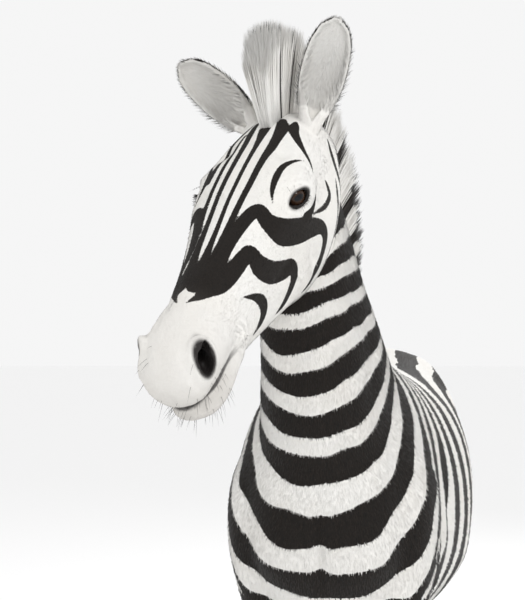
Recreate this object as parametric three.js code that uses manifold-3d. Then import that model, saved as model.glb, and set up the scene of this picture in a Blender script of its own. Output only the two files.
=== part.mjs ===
// A plains zebra at life size, standing and looking to its right.
// Millimetres, +Z up. The body faces -Y and the animal's left side is at +X.

import * as THREE from 'three';
import { mergeVertices } from 'three/addons/utils/BufferGeometryUtils.js';
import Module from 'manifold-3d';

const wasm = await Module();
wasm.setup();

// ------------------------------------------------------------------ driving dimensions

const GAP = 0.3;                // clearance between nodes that meet
const WITHERS_HEIGHT = 1302;    // top of the shoulders
const HEAD_YAW = 20;            // degrees that the head is turned to the animal's right
const HEAD_PITCH = -47;         // slope of the face line
const POLL = new THREE.Vector3(-50, -796, 1700);
const HEAD_LENGTH = 574;        // poll to the front of the upper lip
const EYE_RADIUS = 23;
const EAR_LENGTH = 168;
const EAR_HALF_WIDTH = 41;
const MANE_HEIGHT = 152;        // at the poll
const HOOF_HEIGHT = 62;
const CORONET_HEIGHT = HOOF_HEIGHT - 8;
const STRIDE = 36;              // each foot stands this far before or behind the square

// Stations: along the body, top, bottom, widest level, half width, squareness, flare.
const TORSO = [
  [-652, 1055, 950, 1003, 34, 2.0, 0],
  [-618, 1130, 868, 1000, 112, 2.1, 0],
  [-520, 1235, 765, 985, 172, 2.2, 0],
  [-400, 1290, 712, 960, 200, 2.2, -0.03],
  [-280, WITHERS_HEIGHT, 686, 938, 226, 2.1, -0.06],
  [-140, 1278, 660, 928, 252, 2.1, -0.04],
  [20, 1256, 641, 925, 274, 2.2, 0],
  [180, 1255, 641, 940, 277, 2.2, 0.02],
  [340, 1277, 682, 972, 262, 2.2, 0.04],
  [480, 1295, 752, 1012, 243, 2.2, 0.05],
  [600, 1275, 826, 1040, 212, 2.2, 0.03],
  [690, 1212, 890, 1045, 158, 2.1, 0],
  [738, 1105, 985, 1046, 48, 2.0, 0],
];

// Stations: middle x, y, z, yaw, pitch, reach up, reach down, half width, squareness.
const NECK = [
  [0, -330, 1040, 0, 22, 268, 320, 152, 2.2],
  [-1, -440, 1130, 2, 38, 226, 262, 142, 2.2],
  [-6, -538, 1242, 6, 48, 190, 190, 121, 2.2],
  [-15, -600, 1340, 11, 50, 156, 150, 101, 2.2],
  [-28, -628, 1447, 15, 42, 132, 128, 88, 2.2],
  [-40, -680, 1543, 18, 10, 115, 114, 80, 2.2],
  [-55, -752, 1578, 20, -15, 112, 118, 72, 2.1],
];

// Stations from the poll to the lips: along, top, bottom, widest level, half width,
// squareness, flare. Levels are measured from the line of the face.
const SKULL = [
  [-48, -62, -150, -106, 26, 2.0, 0],
  [-24, -22, -186, -100, 62, 2.1, 0],
  [20, 2, -222, -88, 80, 2.2, 0.04],
  [80, 11, -250, -78, 90, 2.4, 0.10],
  [150, 14, -256, -70, 95, 2.6, 0.16],
  [215, 9, -244, -70, 91, 2.6, 0.17],
  [285, 1, -219, -76, 75, 2.4, 0.16],
  [355, -5, -195, -80, 60, 2.3, 0.14],
  [420, -10, -176, -80, 52, 2.2, 0.12],
  [480, -16, -160, -80, 48, 2.2, 0.10],
  [520, -30, -140, -84, 36, 2.0, 0],
];
const MUZZLE = [
  [350, -40, -104, -72, 26, 2.0, 0],
  [415, -16, -124, -72, 50, 2.1, 0],
  [485, -15, -127, -68, 60, 2.2, 0.05],
  [530, -24, -125, -70, 62, 2.2, 0.03],
  [560, -47, -119, -80, 47, 2.1, 0],
  [HEAD_LENGTH, -74, -108, -90, 16, 2.0, 0],
];
const CHIN = [
  [400, -118, -172, -146, 34, 2.1, 0],
  [450, -117, -175, -146, 42, 2.1, 0],
  [500, -117, -177, -147, 45, 2.1, 0],
  [540, -118, -167, -143, 38, 2.1, 0],
  [564, -122, -150, -136, 17, 2.0, 0],
];

// Stations down a leg: height, front, back, middle x, half width, squareness.
const FORE_LEG = [
  [1130, -505, -345, 128, 30, 2.0],
  [1030, -560, -300, 140, 62, 2.2],
  [920, -555, -285, 140, 72, 2.3],
  [820, -520, -292, 132, 66, 2.3],
  [740, -488, -312, 124, 54, 2.2],
  [640, -468, -346, 119, 45, 2.2],
  [520, -456, -366, 116, 37, 2.2],
  [445, -458, -374, 115, 37, 2.3],
  [395, -458, -372, 114, 38, 2.4],
  [340, -446, -376, 114, 29, 2.2],
  [250, -440, -380, 114, 23, 2.2],
  [190, -441, -376, 114, 24, 2.2],
  [150, -450, -372, 114, 29, 2.3],
  [108, -462, -400, 114, 26, 2.2],
  [74, -486, -410, 115, 31, 2.2],
  [40, -492, -412, 116, 33, 2.2],
];
const HIND_LEG = [
  [1180, 380, 640, 110, 40, 2.0],
  [1080, 350, 700, 142, 76, 2.2],
  [970, 335, 722, 148, 92, 2.3],
  [870, 338, 712, 142, 86, 2.3],
  [780, 392, 690, 134, 68, 2.2],
  [690, 466, 676, 128, 52, 2.2],
  [600, 540, 676, 124, 41, 2.2],
  [530, 574, 698, 121, 35, 2.2],
  [480, 580, 696, 120, 37, 2.4],
  [425, 578, 672, 119, 34, 2.3],
  [370, 580, 652, 119, 26, 2.2],
  [270, 574, 638, 119, 24, 2.2],
  [190, 564, 636, 119, 25, 2.2],
  [150, 552, 634, 119, 30, 2.3],
  [108, 532, 600, 119, 27, 2.2],
  [74, 506, 588, 120, 31, 2.2],
  [40, 500, 584, 120, 33, 2.2],
];

// Hoof stations: height, front and back from the middle of the sole, half width.
const HOOF = [
  [HOOF_HEIGHT + 14, -34, 42, 33],
  [CORONET_HEIGHT, -42, 45, 38],
  [22, -56, 48, 44],
  [0, -64, 47, 47],
];
const HOOF_SQUARENESS = 2.3;
const FORE_SOLE_Y = -450;
const HIND_SOLE_Y = 542;

// Stations down the tail: x, y, z, radius. The last ones are the core of the tuft.
const TAIL = [
  [0, 690, 1190, 34],
  [0, 738, 1172, 31],
  [2, 768, 1110, 26],
  [4, 780, 1010, 22],
  [6, 783, 900, 19],
  [8, 781, 790, 18],
  [9, 778, 690, 16],
  [10, 776, 620, 6],
];
const TAIL_LOCKS = 13;
const TUFT_TOP = 880;           // heights of the highest and lowest roots, and of the tips
const TUFT_MIDDLE = 690;
const TUFT_END = 468;
const GOLDEN_TURN = 2.4;        // radians between the roots of two locks, one after the other

// Stations up an ear, as shares of its length and half width: height, width, back, front.
const EAR_STATIONS = [
  [-0.16, 0.46, 19, 19],
  [0.0, 0.58, 23, 18],
  [0.15, 0.80, 26, 14],
  [0.35, 0.97, 25, 11],
  [0.55, 1.0, 20, 9],
  [0.75, 0.91, 14, 8],
  [0.91, 0.66, 9, 6],
  [1.0, 0.22, 4, 3],
];
const EAR_CURL = 16;            // how far the tip curls forward
const EAR_WALL = 6;
const EAR_CUP_START = 0.15;     // how far open the cup is at its foot, and how fast it opens
const EAR_CUP_OPENING = 3;
const EAR_CUP_SHIFT = 0.03;     // the rim left over the top of the cup

// The outline of a lock: share of its length, share of its width.
const TAIL_PROFILE = [[0, 0.85], [0.5, 1], [0.88, 0.8], [1, 0.34]];
const MANE_PROFILE = [[0, 0.9], [0.5, 1], [0.88, 0.9], [1, 0.5]];
const MANE_LOCKS = 16;          // along the crest, in each row
const MANE_ROWS = 3;
const MANE_END = 0.93;          // where it stops, as a share of the crest down to the withers
const MANE_SUNK = 24;           // how deep a lock is rooted
const MANE_HALF_WIDTH = 22;
const MANE_CORE_SHARE = 0.42;   // the solid core's part of the mane's height
const MANE_CORE_SUNK = 26;
const FORELOCK_AHEAD = 56;      // where the mane starts, ahead of the poll

const STEP_TOP = 900;           // the feet are set off below this height
const FORE_KNEE = 476;          // where each leg is parted across
const HIND_KNEE = 566;

const COAT_WHITE = '#e9e3d6';
const EYE_DARK = '#17100c';
const HOOF_GREY = '#4a4540';

// ------------------------------------------------------------------ shapes

const rad = THREE.MathUtils.degToRad;
const lerp = THREE.MathUtils.lerp;

// Forward, side (the animal's left) and up of a part that is yawed to the right and pitched.
function axesAt(yaw, pitch) {
  const [sy, cy] = [Math.sin(rad(yaw)), Math.cos(rad(yaw))];
  const [sp, cp] = [Math.sin(rad(pitch)), Math.cos(rad(pitch))];
  const forward = new THREE.Vector3(-sy * cp, -cy * cp, sp);
  const side = new THREE.Vector3(cy, -sy, 0);
  const up = new THREE.Vector3().crossVectors(forward, side);
  return { forward, side, up };
}

// Rows of numbers, filled in along a Catmull-Rom spline to the given count.
function refine(rows, count) {
  const last = rows.length - 1;
  return Array.from({ length: count }, (_, k) => {
    const along = k * last / (count - 1);
    const i = Math.min(Math.floor(along), last - 1);
    const t = along - i;
    const before = rows[Math.max(i - 1, 0)];
    const after = rows[Math.min(i + 2, last)];
    return rows[i].map((value, j) => {
      const next = rows[i + 1][j];
      const slope = (next - before[j]) / 2;
      const nextSlope = (after[j] - value) / 2;
      const bend = 2 * (value - next) + slope + nextSlope;
      return value + t * (slope + t * (next - value - slope - bend + t * bend));
    });
  });
}

// A rounded outline about a middle: squareness 2 is an ellipse, and more is boxier.
function ring(middle, axes, reach, sides) {
  const corner = 2 / reach.square;
  return Array.from({ length: sides }, (_, k) => {
    const angle = 2 * Math.PI * k / sides;
    const [c, s] = [Math.cos(angle), Math.sin(angle)];
    const across = Math.sign(c) * Math.abs(c) ** corner;
    const along = Math.sign(s) * Math.abs(s) ** corner;
    const half = reach.half * across * (1 + (reach.flare ?? 0) * along);
    const height = along > 0 ? reach.up * along : reach.down * along;
    return middle.clone().addScaledVector(axes.side, half).addScaledVector(axes.up, height);
  });
}

// The closed skin over a row of rings, each end closed by a fan from its middle.
function loft(rings) {
  const sides = rings[0].length;
  const points = rings.flat();
  const faces = [];
  for (let i = 0; i < rings.length - 1; i += 1) {
    for (let k = 0; k < sides; k += 1) {
      const a = i * sides + k;
      const b = i * sides + (k + 1) % sides;
      faces.push([a, b, b + sides], [a, b + sides, a + sides]);
    }
  }
  const middleOf = (outline) => outline
    .reduce((sum, point) => sum.add(point), new THREE.Vector3()).divideScalar(sides);
  points.push(middleOf(rings[0]), middleOf(rings.at(-1)));
  const start = (rings.length - 1) * sides;
  for (let k = 0; k < sides; k += 1) {
    const next = (k + 1) % sides;
    faces.push([points.length - 2, next, k], [points.length - 1, start + k, start + next]);
  }
  return closedSolid(points, faces);
}

// A manifold solid from points and faces, turned so that its faces point out.
function closedSolid(points, faces) {
  const volume = faces.reduce((sum, [a, b, c]) => sum
    + points[a].dot(new THREE.Vector3().crossVectors(points[b], points[c])), 0);
  const outward = volume > 0 ? faces : faces.map(([a, b, c]) => [a, c, b]);
  return new wasm.Manifold(new wasm.Mesh({
    numProp: 3,
    vertProperties: new Float32Array(points.flatMap((point) => point.toArray())),
    triVerts: new Uint32Array(outward.flat()),
  }));
}

// A manifold solid from a geometry, set in place by a matrix.
function solidFrom(geometry, matrix) {
  geometry.deleteAttribute('normal');
  geometry.deleteAttribute('uv');
  const { attributes, index } = mergeVertices(geometry, 1e-4);
  const points = Array.from({ length: attributes.position.count }, (_, i) => (
    new THREE.Vector3().fromBufferAttribute(attributes.position, i).applyMatrix4(matrix)));
  const faces = Array.from({ length: index.count / 3 }, (_, i) => (
    [0, 1, 2].map((corner) => index.getX(3 * i + corner))));
  return closedSolid(points, faces);
}

// The matrix that carries X, Y and Z to the given directions, scaled, and the origin to a point.
function frameMatrix(x, y, z, origin, scale = [1, 1, 1]) {
  return new THREE.Matrix4().makeBasis(x, y, z).scale(new THREE.Vector3(...scale))
    .setPosition(origin);
}

function ellipsoid(origin, [x, y, z], radii, around = 14, down = 8) {
  return solidFrom(new THREE.SphereGeometry(1, around, down), frameMatrix(x, y, z, origin, radii));
}

const join = (pieces) => pieces.reduce((sum, piece) => sum.add(piece));

// The largest closed surface of a solid.
function largest(solid) {
  return solid.decompose().reduce((best, piece) => (piece.volume() > best.volume() ? piece : best));
}

// A block at a point, as ranges along the forward, side and up axes, grown on every face.
function block(origin, axes, ranges, grow = 0) {
  const sizes = ranges.map(([low, high]) => high - low + 2 * grow);
  const middle = ranges.map(([low, high]) => (low + high) / 2);
  const centre = origin.clone().addScaledVector(axes.forward, middle[0])
    .addScaledVector(axes.side, middle[1]).addScaledVector(axes.up, middle[2]);
  return solidFrom(new THREE.BoxGeometry(...sizes),
    frameMatrix(axes.forward, axes.side, axes.up, centre));
}

// The part of a solid inside some blocks, and the rest of it, GAP apart.
function split(solid, blocks) {
  const cutter = (grow) => join(blocks.map(([origin, axes, ranges]) => (
    block(origin, axes, ranges, grow))));
  return {
    inside: largest(solid.intersect(cutter(0))),
    rest: largest(solid.subtract(cutter(GAP))),
  };
}

// A flat, tapered lock from its root: it bends towards one side as it grows.
function lock(profile, root, grow, wide, bend, { length, width, thickness }) {
  const flat = new THREE.Vector3().crossVectors(grow, wide).normalize();
  const axes = { side: wide, up: flat };
  return loft(profile.map(([t, spread]) => {
    const middle = root.clone().addScaledVector(grow, length * t)
      .addScaledVector(bend, length * t * t);
    const depth = thickness * spread / 2;
    return ring(middle, axes, { up: depth, down: depth, half: width * spread / 2, square: 2 }, 4);
  }));
}

// ------------------------------------------------------------------ trunk and neck

const BODY_AXES = axesAt(0, 0);

function buildTorso() {
  return loft(refine(TORSO, 22).map(([y, top, bottom, level, half, square, flare]) => ring(
    new THREE.Vector3(0, y, level),
    BODY_AXES,
    { up: top - level, down: level - bottom, half, square, flare },
    22,
  )));
}

function buildNeck() {
  return loft(refine(NECK, 14).map(([x, y, z, yaw, pitch, up, down, half, square]) => ring(
    new THREE.Vector3(x, y, z),
    axesAt(yaw, pitch),
    { up, down, half, square },
    20,
  )));
}

// ------------------------------------------------------------------ head

const HEAD_AXES = axesAt(HEAD_YAW, HEAD_PITCH);

// A point of the head, from the poll: along the face line, to the left, above the line.
function headPoint(along, left, above) {
  return POLL.clone().addScaledVector(HEAD_AXES.forward, along)
    .addScaledVector(HEAD_AXES.side, left).addScaledVector(HEAD_AXES.up, above);
}

function headDirection(along, left, above) {
  return headPoint(along, left, above).sub(POLL).normalize();
}

function headLoft(rows, count, sides) {
  return loft(refine(rows, count).map(([along, top, bottom, level, half, square, flare]) => ring(
    headPoint(along, 0, level),
    HEAD_AXES,
    { up: top - level, down: level - bottom, half, square, flare },
    sides,
  )));
}

// Directions of an eye: its gaze, its corner-to-corner line and the line between its lids.
function eyeAxes(left) {
  const gaze = headDirection(0.42, 0.88 * left, 0.20);
  const corners = headDirection(0.88, -0.42 * left, -0.12);
  const lids = new THREE.Vector3().crossVectors(gaze, corners).normalize();
  return [new THREE.Vector3().crossVectors(corners, lids), corners, lids];
}

const eyeCentre = (left) => headPoint(180, 75 * left, -43);

function eyeBall(left, extra = 0) {
  const radius = EYE_RADIUS + extra;
  return ellipsoid(eyeCentre(left), eyeAxes(left), [radius, radius, radius], 16, 10);
}

// The swelling round an eye, its brow and the lids, before the eye is cut out of them.
function eyeSurround(left) {
  const axes = eyeAxes(left);
  const orbit = ellipsoid(headPoint(176, 66 * left, -44), axes, [33, 58, 42]);
  const lids = ellipsoid(eyeCentre(left), axes, [28, 30, 27]);
  const brow = ellipsoid(headPoint(166, 68 * left, -22), axes, [27, 46, 20]);
  return join([orbit, lids, brow]);
}

function eyeOpening(left) {
  const axes = eyeAxes(left);
  const front = eyeCentre(left).addScaledVector(axes[0], EYE_RADIUS);
  return ellipsoid(front, axes, [24, 24, 15]);
}

// A nostril opens forward and outward, taller than wide and leaning out at its foot.
function nostrilAxes(left) {
  const out = headDirection(0.62, 0.76 * left, 0.18);
  const long = headDirection(-0.30, 0.02 * left, 0.95);
  const across = new THREE.Vector3().crossVectors(out, long).normalize();
  return [out, new THREE.Vector3().crossVectors(across, out), across];
}

const nostrilCentre = (left) => headPoint(518, 48 * left, -58);

const nostrilRim = (left) => ellipsoid(nostrilCentre(left), nostrilAxes(left), [17, 36, 24]);

function nostrilHole(left) {
  const [out] = nostrilAxes(left);
  const centre = nostrilCentre(left).addScaledVector(out, 13);
  return ellipsoid(centre, nostrilAxes(left), [28, 25, 12]);
}

const MOUTH = { corner: 432, level: -121, depth: 9, height: 3.4 };

// The line of the mouth: a flat slot round the lips, left solid inside its depth.
function mouthSlot() {
  const reach = 90;
  const middle = headPoint(MOUTH.corner + reach, 0, MOUTH.level);
  const place = frameMatrix(HEAD_AXES.forward, HEAD_AXES.side, HEAD_AXES.up, middle);
  const slot = solidFrom(new THREE.BoxGeometry(2 * reach, 2 * reach, MOUTH.height), place);
  const core = loft([
    [MOUTH.corner - 20, 50],
    [470, 36],
    [510, 37],
    [534, 30],
    [546, 18],
  ].map(([along, half]) => ring(headPoint(along, 0, MOUTH.level), HEAD_AXES,
    { up: 8, down: 8, half, square: 6 }, 12)));
  return slot.subtract(core);
}

// The ridge of bone that runs from under an eye towards the nose.
function cheekRidge(left) {
  const along = headDirection(0.96, -0.27 * left, -0.05);
  const out = headDirection(0.27, 0.96 * left, 0);
  const up = new THREE.Vector3().crossVectors(along, out);
  return ellipsoid(headPoint(250, 60 * left, -90), [along, out, up], [110, 20, 20]);
}

function buildHeadFlesh() {
  const sides = [1, -1].flatMap((left) => [eyeSurround(left), nostrilRim(left), cheekRidge(left)]);
  return join([headLoft(SKULL, 20, 22), headLoft(MUZZLE, 10, 18), headLoft(CHIN, 7, 14), ...sides]);
}

function carveHead(head) {
  const hollows = [1, -1].flatMap((left) => [
    eyeBall(left, GAP), eyeOpening(left), nostrilHole(left),
  ]);
  return [...hollows, mouthSlot()].reduce((rest, hollow) => rest.subtract(hollow), head);
}

// ------------------------------------------------------------------ ears

const LEVEL_AXES = axesAt(HEAD_YAW, 0);

// A direction from the head's own sides, without its slope: ahead, to the left, up.
function levelDirection(ahead, left, up) {
  return new THREE.Vector3().addScaledVector(LEVEL_AXES.forward, ahead)
    .addScaledVector(LEVEL_AXES.side, left).addScaledVector(LEVEL_AXES.up, up).normalize();
}

// How each ear grows and where its cup faces. The right one is turned out.
const EARS = {
  left: { side: 1, grow: levelDirection(-0.06, 0.25, 0.96), cup: levelDirection(0.80, 0.55, 0.08) },
  right: { side: -1, grow: levelDirection(0.12, -0.72, 0.68), cup: levelDirection(0.90, 0.02, -0.3) },
};

// An ear is a tapered scoop: its root is sunk in the head and its cup is cut from the front.
function buildEar({ side, grow, cup }) {
  const across = new THREE.Vector3().crossVectors(grow, cup).normalize();
  const axes = { side: across, up: new THREE.Vector3().crossVectors(across, grow) };
  const root = headPoint(8, 61 * side, -16);
  const along = (t) => root.clone().addScaledVector(grow, EAR_LENGTH * t)
    .addScaledVector(axes.up, EAR_CURL * t * t);
  const outer = refine(EAR_STATIONS, 11).map(([t, half, back, front]) => (
    ring(along(t), axes, { half: half * EAR_HALF_WIDTH, down: back, up: front, square: 2 }, 14)));
  const hollow = refine(EAR_STATIONS.slice(1), 8).map(([t, half, back, front]) => {
    const open = Math.min(EAR_CUP_START + EAR_CUP_OPENING * t, 1);
    return ring(along(t - EAR_CUP_SHIFT), axes, {
      half: Math.max(half * EAR_HALF_WIDTH - EAR_WALL, 3) * open,
      down: Math.max(back - EAR_WALL, 1) * open,
      up: front + 20,
      square: 2,
    }, 12);
  });
  return loft(outer).subtract(loft(hollow));
}

// A solid whose root is sunk in another, cut off where it comes out, GAP clear along a direction.
function cutClear(solid, host, direction) {
  return largest(solid.subtract(host.translate(...direction.clone().multiplyScalar(GAP).toArray())));
}

// ------------------------------------------------------------------ mane

// Points of the crest from the forelock to the withers, and which way the mane stands there.
function crestStations() {
  const neck = NECK.slice(1, -1).toReversed().map(([x, y, z, yaw, pitch, up]) => {
    const axes = axesAt(yaw, pitch);
    return { point: new THREE.Vector3(x, y, z).addScaledVector(axes.up, up), ...axes };
  });
  const { side } = HEAD_AXES;
  const poll = { point: headPoint(4, 0, 2), up: levelDirection(0.10, 0, 0.99), side };
  const brow = { point: headPoint(FORELOCK_AHEAD, 0, 8), up: levelDirection(0.30, 0, 0.95), side };
  return [brow, poll, ...neck];
}

// The crest at a share of its length: point, the way up and the animal's left.
function crestAt(share) {
  const stations = crestStations();
  const curveOf = (key) => new THREE.CatmullRomCurve3(stations.map((station) => station[key]));
  const at = curveOf('point').getUtoTmapping(share);
  return {
    point: curveOf('point').getPoint(at),
    up: curveOf('up').getPoint(at).normalize(),
    side: curveOf('side').getPoint(at).normalize(),
    back: curveOf('point').getTangent(at),
  };
}

function maneHeight(share) {
  const rise = lerp(0.86, 1, Math.min(share / 0.12, 1));
  const fall = 1 - 0.62 * Math.max((share - 0.35) / 0.65, 0) ** 1.6;
  return MANE_HEIGHT * rise * fall;
}

function maneCore() {
  return loft(Array.from({ length: 15 }, (_, k) => {
    const share = MANE_END * k / 14;
    const { point, up, side } = crestAt(share);
    const reach = MANE_CORE_SHARE * maneHeight(share);
    return ring(point, { side, up },
      { half: MANE_HALF_WIDTH, up: reach, down: MANE_CORE_SUNK, square: 2.4 }, 10);
  }));
}

function maneLocks(random) {
  const locks = [];
  for (let row = 0; row < MANE_ROWS; row += 1) {
    for (let k = 0; k < MANE_LOCKS; k += 1) {
      const share = MANE_END * (k + 0.5 + 0.3 * (row - 1)) / MANE_LOCKS;
      const { point, up, side, back } = crestAt(share);
      const out = row - (MANE_ROWS - 1) / 2;
      const grow = up.clone().addScaledVector(side, 0.10 * out + 0.05 * (random() - 0.5))
        .addScaledVector(back, 0.10 * (random() - 0.5)).normalize();
      const wide = back.clone().addScaledVector(grow, -back.dot(grow)).normalize();
      const root = point.clone().addScaledVector(side, 12 * out).addScaledVector(grow, -MANE_SUNK);
      const bend = side.clone().multiplyScalar(0.05 * out).addScaledVector(back, 0.06);
      locks.push(lock(MANE_PROFILE, root, grow, wide, bend, {
        length: MANE_SUNK + maneHeight(share) * lerp(0.92, 1.02, random()),
        width: lerp(54, 62, random()),
        thickness: lerp(14, 17, random()),
      }));
    }
  }
  return locks;
}

// ------------------------------------------------------------------ legs and tail

const FOOT_AXES = { side: new THREE.Vector3(1, 0, 0), up: new THREE.Vector3(0, -1, 0) };

// The four legs: which stations, which side, and which way the foot is set off.
const LEGS = {
  front_left: { rows: FORE_LEG, left: 1, step: -1, soleY: FORE_SOLE_Y, fore: true },
  front_right: { rows: FORE_LEG, left: -1, step: 1, soleY: FORE_SOLE_Y, fore: true },
  rear_left: { rows: HIND_LEG, left: 1, step: 1, soleY: HIND_SOLE_Y, fore: false },
  rear_right: { rows: HIND_LEG, left: -1, step: -1, soleY: HIND_SOLE_Y, fore: false },
};

const stepAt = (leg, height) => STRIDE * leg.step * Math.max(1 - height / STEP_TOP, 0);
const soleX = (leg) => leg.left * leg.rows.at(-1)[3];

function buildLeg(leg) {
  const limb = loft(refine(leg.rows, 22).map(([z, front, back, x, half, square]) => {
    const reach = (back - front) / 2;
    const middle = new THREE.Vector3(leg.left * x, (front + back) / 2 + stepAt(leg, z), z);
    return ring(middle, FOOT_AXES, { up: reach, down: reach, half, square }, 12);
  }));
  const hoof = loft(HOOF.map(([z, front, back, half]) => {
    const reach = (back - front) / 2;
    const middle = new THREE.Vector3(soleX(leg), leg.soleY + stepAt(leg, 0) + (front + back) / 2, z);
    return ring(middle, FOOT_AXES, { up: reach, down: reach, half, square: HOOF_SQUARENESS }, 16);
  }));
  return join([limb, hoof]);
}

// The dock, and the long locks that hang from its lower half.
function buildTail(random) {
  const axes = { side: new THREE.Vector3(1, 0, 0), up: new THREE.Vector3(0, 1, 0) };
  const dock = loft(refine(TAIL, 15).map(([x, y, z, radius]) => (
    ring(new THREE.Vector3(x, y, z), axes, { up: radius, down: radius, half: radius, square: 2 }, 10)
  )));
  const locks = Array.from({ length: TAIL_LOCKS }, (_, k) => {
    const turn = k * GOLDEN_TURN;
    const out = new THREE.Vector3(Math.cos(turn), Math.sin(turn), 0);
    const wide = new THREE.Vector3(-Math.sin(turn), Math.cos(turn), 0);
    const height = lerp(TUFT_TOP, TUFT_MIDDLE, k / (TAIL_LOCKS - 1));
    const [x, y] = TAIL.find((station) => station[2] <= height);
    const root = new THREE.Vector3(x, y, height).addScaledVector(out, 4);
    const grow = new THREE.Vector3(0, 0, -1).addScaledVector(out, 0.20).normalize();
    const length = (height - TUFT_END) * lerp(0.86, 1, random());
    const inward = out.multiplyScalar(-0.13);
    return lock(TAIL_PROFILE, root, grow, wide, inward, { length, width: 38, thickness: 17 });
  });
  const cut = new THREE.Vector3(0, TAIL[1][1] + 8, TAIL[1][2] - 6);
  const whole = join([dock, ...locks]);
  return split(whole, [[cut, axesAt(180, -38), [[0, 900], [-90, 90], [-900, 90]]]]);
}

// ------------------------------------------------------------------ parting and assembly

const at = (x, y, z) => new THREE.Vector3(x, y, z);
const DOWN = axesAt(0, -90);

// The blocks that take each part off the whole, in this order.
const THROAT = at(-44, -676, 1560);
const HEAD_BLOCKS = [
  [THROAT, axesAt(19, 5), [[0, 700], [-200, 200], [-150, 420]]],
  [THROAT, axesAt(19, 0), [[56, 700], [-200, 200], [-500, 420]]],
];
const NECK_BLOCKS = [[at(0, -478, 1166), axesAt(3, 45), [[0, 900], [-300, 300], [-400, 500]]]];

const FORE_CUT = { x: 62, y: -420, z: 742, reach: 168, slope: -50, under: 684 };
const HIND_CUT = { x: 56, y: 534, z: 800, reach: 206, slope: -54, under: 672 };

// A leg comes off along a slope that rises outward from the pit of the limb, and under the belly.
function legBlocks(leg) {
  const cut = leg.fore ? FORE_CUT : HIND_CUT;
  const axes = axesAt(leg.left > 0 ? 270 : 90, cut.slope);
  const wide = [-cut.reach, cut.reach];
  return [
    [at(leg.left * cut.x, cut.y, cut.z), axes, [[0, 900], wide, [-66, 900]]],
    [at(leg.left * 200, cut.y, cut.under), DOWN, [[0, 900], [-190, 190], wide]],
  ];
}

const CORONET = axesAt(0, -72);

function partLeg(name, solid) {
  const leg = LEGS[name];
  const knee = leg.fore ? FORE_KNEE : HIND_KNEE;
  const wide = [-400, 400];
  const shank = split(solid, [[at(0, 0, knee), DOWN, [[0, 800], wide, [-2000, 2000]]]]);
  const crown = at(0, leg.soleY + stepAt(leg, 0), CORONET_HEIGHT);
  const foot = split(shank.inside, [[crown, CORONET, [[0, 300], wide, [-300, 300]]]]);
  return {
    [`leg_${name}_upper`]: shank.rest,
    [`leg_${name}_lower`]: foot.rest,
    [`hoof_${name}`]: foot.inside,
  };
}

// A seeded draw between 0 and 1, so that the coat is the same on every build.
function seededRandom(seed) {
  let state = seed;
  return () => {
    state = (state * 1664525 + 1013904223) % 4294967296;
    return state / 4294967296;
  };
}

function meshFrom(name, solid, color, roughness = 0.85) {
  const { vertProperties, triVerts } = solid.getMesh();
  const geometry = new THREE.BufferGeometry();
  geometry.setAttribute('position', new THREE.BufferAttribute(vertProperties, 3));
  geometry.setIndex(new THREE.BufferAttribute(triVerts, 1));
  geometry.computeVertexNormals();
  const material = new THREE.MeshStandardMaterial({ color, roughness, metalness: 0 });
  const mesh = new THREE.Mesh(geometry, material);
  mesh.name = name;
  return mesh;
}

function buildZebra() {
  const random = seededRandom(7);
  const tail = buildTail(random);
  const whole = join([
    buildTorso(), buildNeck(), buildHeadFlesh(), tail.rest,
    ...Object.values(LEGS).map(buildLeg), maneCore(), ...maneLocks(random),
  ]);

  const head = split(carveHead(whole), HEAD_BLOCKS);
  const neck = split(head.rest, NECK_BLOCKS);
  const parts = { head: head.inside, neck: neck.inside };
  let torso = neck.rest;
  for (const name of Object.keys(LEGS)) {
    const leg = split(torso, legBlocks(LEGS[name]));
    torso = leg.rest;
    Object.assign(parts, partLeg(name, leg.inside));
  }
  Object.assign(parts, { torso, tail: tail.inside });
  for (const [name, ear] of Object.entries(EARS)) {
    const out = headDirection(0, 0.7 * ear.side, 0.7);
    parts[`ear_${name}`] = cutClear(buildEar(ear), parts.head, out);
  }

  const group = new THREE.Group();
  for (const [name, solid] of Object.entries(parts)) {
    const hoof = name.startsWith('hoof');
    group.add(meshFrom(name, solid, hoof ? HOOF_GREY : COAT_WHITE, hoof ? 0.5 : 0.85));
  }
  group.add(meshFrom('eye_left', eyeBall(1), EYE_DARK, 0.08));
  group.add(meshFrom('eye_right', eyeBall(-1), EYE_DARK, 0.08));
  return group;
}

// The origin is on the floor, under the middle of the animal.
const zebra = buildZebra();
const bounds = new THREE.Box3().setFromObject(zebra);
zebra.position.set(-(bounds.min.x + bounds.max.x) / 2, -(bounds.min.y + bounds.max.y) / 2, -bounds.min.z);

export default zebra;
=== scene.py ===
"""A life-size plains zebra, standing and looking to its right: skin, coat, mane, eyes and hooves."""

import math

import bmesh
import bpy
import numpy as np
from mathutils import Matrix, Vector
from mathutils.bvhtree import BVHTree


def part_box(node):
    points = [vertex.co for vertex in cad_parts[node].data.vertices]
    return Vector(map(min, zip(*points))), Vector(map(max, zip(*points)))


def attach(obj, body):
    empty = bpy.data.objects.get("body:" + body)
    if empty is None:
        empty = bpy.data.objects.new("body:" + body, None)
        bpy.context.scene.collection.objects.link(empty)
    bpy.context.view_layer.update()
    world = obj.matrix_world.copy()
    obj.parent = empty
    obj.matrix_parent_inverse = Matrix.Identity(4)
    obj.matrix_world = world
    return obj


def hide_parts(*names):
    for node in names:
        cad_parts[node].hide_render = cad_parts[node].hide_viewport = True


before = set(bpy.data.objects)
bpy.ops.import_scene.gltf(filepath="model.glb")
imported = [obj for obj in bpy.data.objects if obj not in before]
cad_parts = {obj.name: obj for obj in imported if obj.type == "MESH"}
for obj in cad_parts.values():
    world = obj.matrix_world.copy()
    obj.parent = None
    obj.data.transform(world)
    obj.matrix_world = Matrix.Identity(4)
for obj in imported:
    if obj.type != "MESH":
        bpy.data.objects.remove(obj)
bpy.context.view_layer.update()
ROOT = "root"

# ---------------------------------------------------------------- sizes, in millimetres
# The stations are those of the solids. The body faces -Y and its left is +X.

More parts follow.
